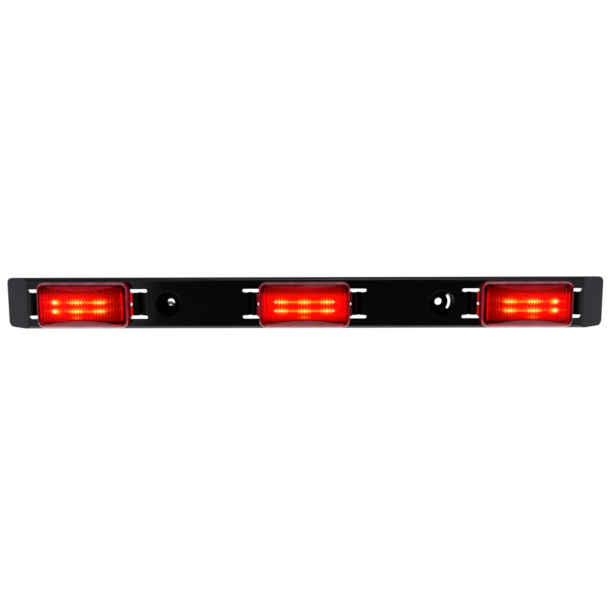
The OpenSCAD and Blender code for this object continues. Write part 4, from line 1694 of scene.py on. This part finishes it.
@dataclass
class GroundTail:
    """The ring terminal behind the left mounting hole and the wire from it to the ground trunk.

    Until a screw holds it, the ring hangs as low in its seat as it can.
    """

    hang: tuple[float, float] = (-1.45 * MM, -4.4 * MM)
    radius: float = 1.08 * MM
    hole_radius: float = 2.6 * MM
    metal: float = 0.8 * MM
    neck_half: float = 1.4 * MM
    barrel_length: float = 5.0 * MM
    corner: float = 0.16 * MM
    crimp_depth: float = 0.3 * MM
    crimp_from_end: float = 2.4 * MM

    def __post_init__(self) -> None:
        """Reads the places of the terminal, the tail and the trunk."""
        self.terminal = Room.of("ground_ring_terminal")
        self.tail = Room.of("ground_tail")
        self.trunk = Room.of("ground_trunk")
        self.ring_radius = self.terminal.size[1] / 2
        self.centre = np.array([
            self.terminal.low[0] + self.ring_radius + self.hang[0],
            self.terminal.centre[1] + self.hang[1],
            self.terminal.low[2],
        ])
        self.barrel_end = self.terminal.high[0] + self.hang[0]
        self.barrel_z = self.terminal.centre[2]

    def ring(self, piece: Piece) -> None:
        """Adds the ring: a rounded section carried round the ring's axis."""
        middle = (self.ring_radius + self.hole_radius) / 2
        section = rounded_loop((self.ring_radius - self.hole_radius) / 2, self.metal / 2, self.corner, 3)
        turn = np.linspace(0, 2 * math.pi, 56, endpoint=False)[:, None]
        reach = middle + section[None, :, 0]
        height = np.broadcast_to(section[None, :, 1] + self.metal / 2, reach.repeat(turn.size, 0).shape)
        loops = np.stack([reach * np.cos(turn), reach * np.sin(turn), height], axis=-1)
        piece.hoop(loops + self.centre)

    def barrel(self, piece: Piece) -> None:
        """Adds neck and barrel: a section along x that goes from a flat strip to a round, crimped tube."""
        start = self.centre[0] + self.ring_radius - 0.4 * MM
        x = np.linspace(start, self.barrel_end, 45)
        barrel_start = self.barrel_end - self.barrel_length
        share = np.clip((x - barrel_start + 0.9 * MM) / (1.3 * MM), 0, 1)
        share = share * share * (3 - 2 * share)
        full = self.terminal.size[2] / 2
        from_crimp = x - self.barrel_end + self.crimp_from_end
        crimp = self.crimp_depth * np.exp(-((from_crimp / (0.8 * MM)) ** 2))
        half_y = self.neck_half + (full - self.neck_half) * share
        half_z = self.metal / 2 + (full - crimp - self.metal / 2) * share
        corner = self.corner + (np.minimum(half_y, half_z) - self.corner) * share
        level = self.terminal.low[2] + self.metal / 2
        level = level + (self.barrel_z - level) * share
        loops = np.stack([rounded_loop(y, z, r)[:, [2, 0, 1]] for y, z, r in zip(half_y, half_z, corner)])
        loops[..., 0] = x[:, None]
        loops[..., 1] += self.centre[1]
        loops[..., 2] += level[:, None]
        piece.loft(loops)

    def wire(self) -> None:
        """Makes the wire: out of the barrel, round and down into its splice on the ground trunk."""
        x = self.tail.high[0] - self.radius
        trunk_y, trunk_z = self.trunk.centre[1:]
        out = self.barrel_end
        y = self.centre[1]
        route = smooth_path([
            (out - 0.6 * MM, y, self.barrel_z),
            (out + 1.4 * MM, y, self.barrel_z),
            (x - 2.8 * MM, y - 1.0 * MM, trunk_z - 0.2 * MM),
            (x - 0.3 * MM, trunk_y + 3.6 * MM, trunk_z),
            (x, trunk_y + 1.4 * MM, trunk_z),
        ], 10)
        piece = Piece("ground_tail_wire")
        piece.loft(tube_loops(route, self.radius))
        finish_on("bar", piece, [WIRE_WHITE], "ground_tail")

    def build(self) -> None:
        """Makes the terminal and its wire."""
        piece = Piece("ring_terminal")
        self.ring(piece)
        self.barrel(piece)
        finish_on("bar", piece, [TINNED], "ground_ring_terminal")
        self.wire()


@dataclass
class Bar:
    """The mount bar with its latch tongues and wiring."""

    def build(self) -> None:
        """Dresses the moulding and makes the pieces in and on it."""
        give("mount_bar", BAR_GLOSS)
        for node in sorted(frame["nodes"]):
            if node.startswith("latch_"):
                Tongue(node, node.replace("latch_", "tongue_")).build()
        for pole in Pole:
            Trunk(pole).build()
        SupplyTail().build()
        GroundTail().build()


# ---------- studio ----------


@dataclass
class Studio:
    """Plain pale floor, a soft room that is bright at its sides only, one light and the camera."""

    distance: float = 0.470
    elevation_deg: float = 7.2
    azimuth_deg: float = 0.35
    roll_deg: float = -0.18
    view_width: float = 0.4224
    sensor: float = 36.0
    aim_right: float = -0.35 * MM
    aim_up: float = -0.10 * MM
    floor_drop: float = 0.12
    floor_front: float = 0.21
    floor_back: float = 0.5
    floor_half: float = 0.62
    left_from_deg: float = 13.0
    right_from_deg: float = 17.0
    side_level: float = 0.42
    front_level: float = 0.012
    behind_share: float = 0.08
    above_level: float = 0.07
    room_tint: Colour = (1.03, 0.94, 1.09)
    light_place: Colour = (0.1, 0.1, 1.1)
    light_size: float = 0.8
    light_watts: float = 2.0

    def camera(self) -> None:
        """Puts the camera in front of the bar's face, a little above it, looking slightly down."""
        low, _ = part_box("mount_bar")
        target = Vector((self.aim_right, low.y, self.aim_up))
        azimuth, elevation = math.radians(self.azimuth_deg), math.radians(self.elevation_deg)
        away = Vector((
            math.sin(azimuth) * math.cos(elevation),
            -math.cos(azimuth) * math.cos(elevation),
            math.sin(elevation),
        ))
        data = bpy.data.cameras.new("camera")
        data.sensor_width = self.sensor
        data.lens = self.sensor * self.distance / self.view_width
        data.clip_start = 0.01
        camera = put_in_scene("camera", data)
        turn = away.to_track_quat("Z", "Y").to_matrix().to_4x4()
        place = Matrix.Translation(target + away * self.distance)
        camera.matrix_world = place @ turn @ Matrix.Rotation(math.radians(self.roll_deg), 4, "Z")
        bpy.context.scene.camera = camera

    def floor(self) -> None:
        """Lays the floor, with its front edge just outside the camera's view."""
        x = np.linspace(-self.floor_half, self.floor_half, 3)
        y = np.linspace(-self.floor_front, self.floor_back, 3)
        grid = np.stack(np.meshgrid(x, y), axis=-1).reshape(-1, 2)
        points = np.column_stack([grid, np.full(len(grid), -self.floor_drop)])
        mesh = bpy.data.meshes.new("floor")
        mesh.from_pydata(points, [], [(i, i + 1, i + 4, i + 3) for i in (0, 1, 3, 4)])
        floor = put_in_scene("floor", mesh)
        paper = bpy.data.materials.new("floor_paper")
        paper.use_nodes = True
        shader = paper.node_tree.nodes["Principled BSDF"]
        looks = {
            "Base Color": (0.9, 0.9, 0.9, 1.0), "Roughness": 0.9, "Emission Color": (1.0, 1.0, 1.0, 1.0),
            "Emission Strength": 1.6,
        }
        for name, value in looks.items():
            shader.inputs[name].default_value = value
        mesh.materials.append(paper)

    def surroundings(self) -> None:
        """White backdrop for the camera; for everything else a room that is bright at its sides only."""
        world = bpy.data.worlds.new("studio")
        world.use_nodes = True
        world.node_tree.nodes.clear()
        bpy.context.scene.world = world
        tree = Tree(world.node_tree)
        way = tree.parts(tree.add("ShaderNodeTexCoord").outputs["Generated"])
        forward = tree.product(way["Y"], -1.0)
        turn = tree.product(tree.math("ARCTAN2", way["X"], forward), 180 / math.pi)
        left = tree.ramp(
            tree.product(turn, -1.0), self.left_from_deg, self.left_from_deg + 1.0, 0.0, self.side_level
        )
        right = tree.ramp(turn, self.right_from_deg, self.right_from_deg + 1.5, 0.0, self.side_level)
        behind = tree.ramp(tree.size(turn), 100.0, 125.0, 1.0, self.behind_share)
        level = tree.total(tree.product(tree.total(left, right), behind), self.front_level)
        above = tree.ramp(way["Z"], 0.75, 0.98)
        level = tree.total(
            tree.product(level, tree.less(1.0, above)), tree.product(above, self.above_level)
        )
        shade = tree.tinted(level, self.room_tint)
        room = tree.add("ShaderNodeBackground", {"Color": shade, "Strength": 1.0})
        paper = tree.add("ShaderNodeBackground", {"Color": (1.0, 1.0, 1.0, 1.0), "Strength": 1.0})
        seen = tree.add("ShaderNodeLightPath").outputs["Is Camera Ray"]
        both = tree.add("ShaderNodeMixShader", {0: seen, 1: room.outputs[0], 2: paper.outputs[0]})
        tree.add("ShaderNodeOutputWorld", {"Surface": both.outputs[0]})

    def overhead_light(self) -> None:
        """Hangs a soft square light over the bar, turned to shine at it."""
        data = bpy.data.lights.new("overhead_light", "AREA")
        data.size = self.light_size
        data.energy = self.light_watts
        light = put_in_scene("overhead_light", data)
        turn = Vector(self.light_place).to_track_quat("Z", "Y").to_matrix().to_4x4()
        light.matrix_world = Matrix.Translation(self.light_place) @ turn

    def build(self) -> None:
        """Sets up the whole studio."""
        scene = bpy.context.scene
        scene.view_settings.view_transform = "Standard"
        scene.view_settings.look = "None"
        self.surroundings()
        self.floor()
        self.overhead_light()
        self.camera()


def main() -> None:
    """Builds the light bar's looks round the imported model."""
    logging.basicConfig(level=logging.INFO, format="%(name)s: %(message)s")
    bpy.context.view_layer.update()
    Studio().build()
    Bar().build()
    for lamp in Lamp:
        LampUnit(lamp).build()


if __name__ == "__main__":
    main()
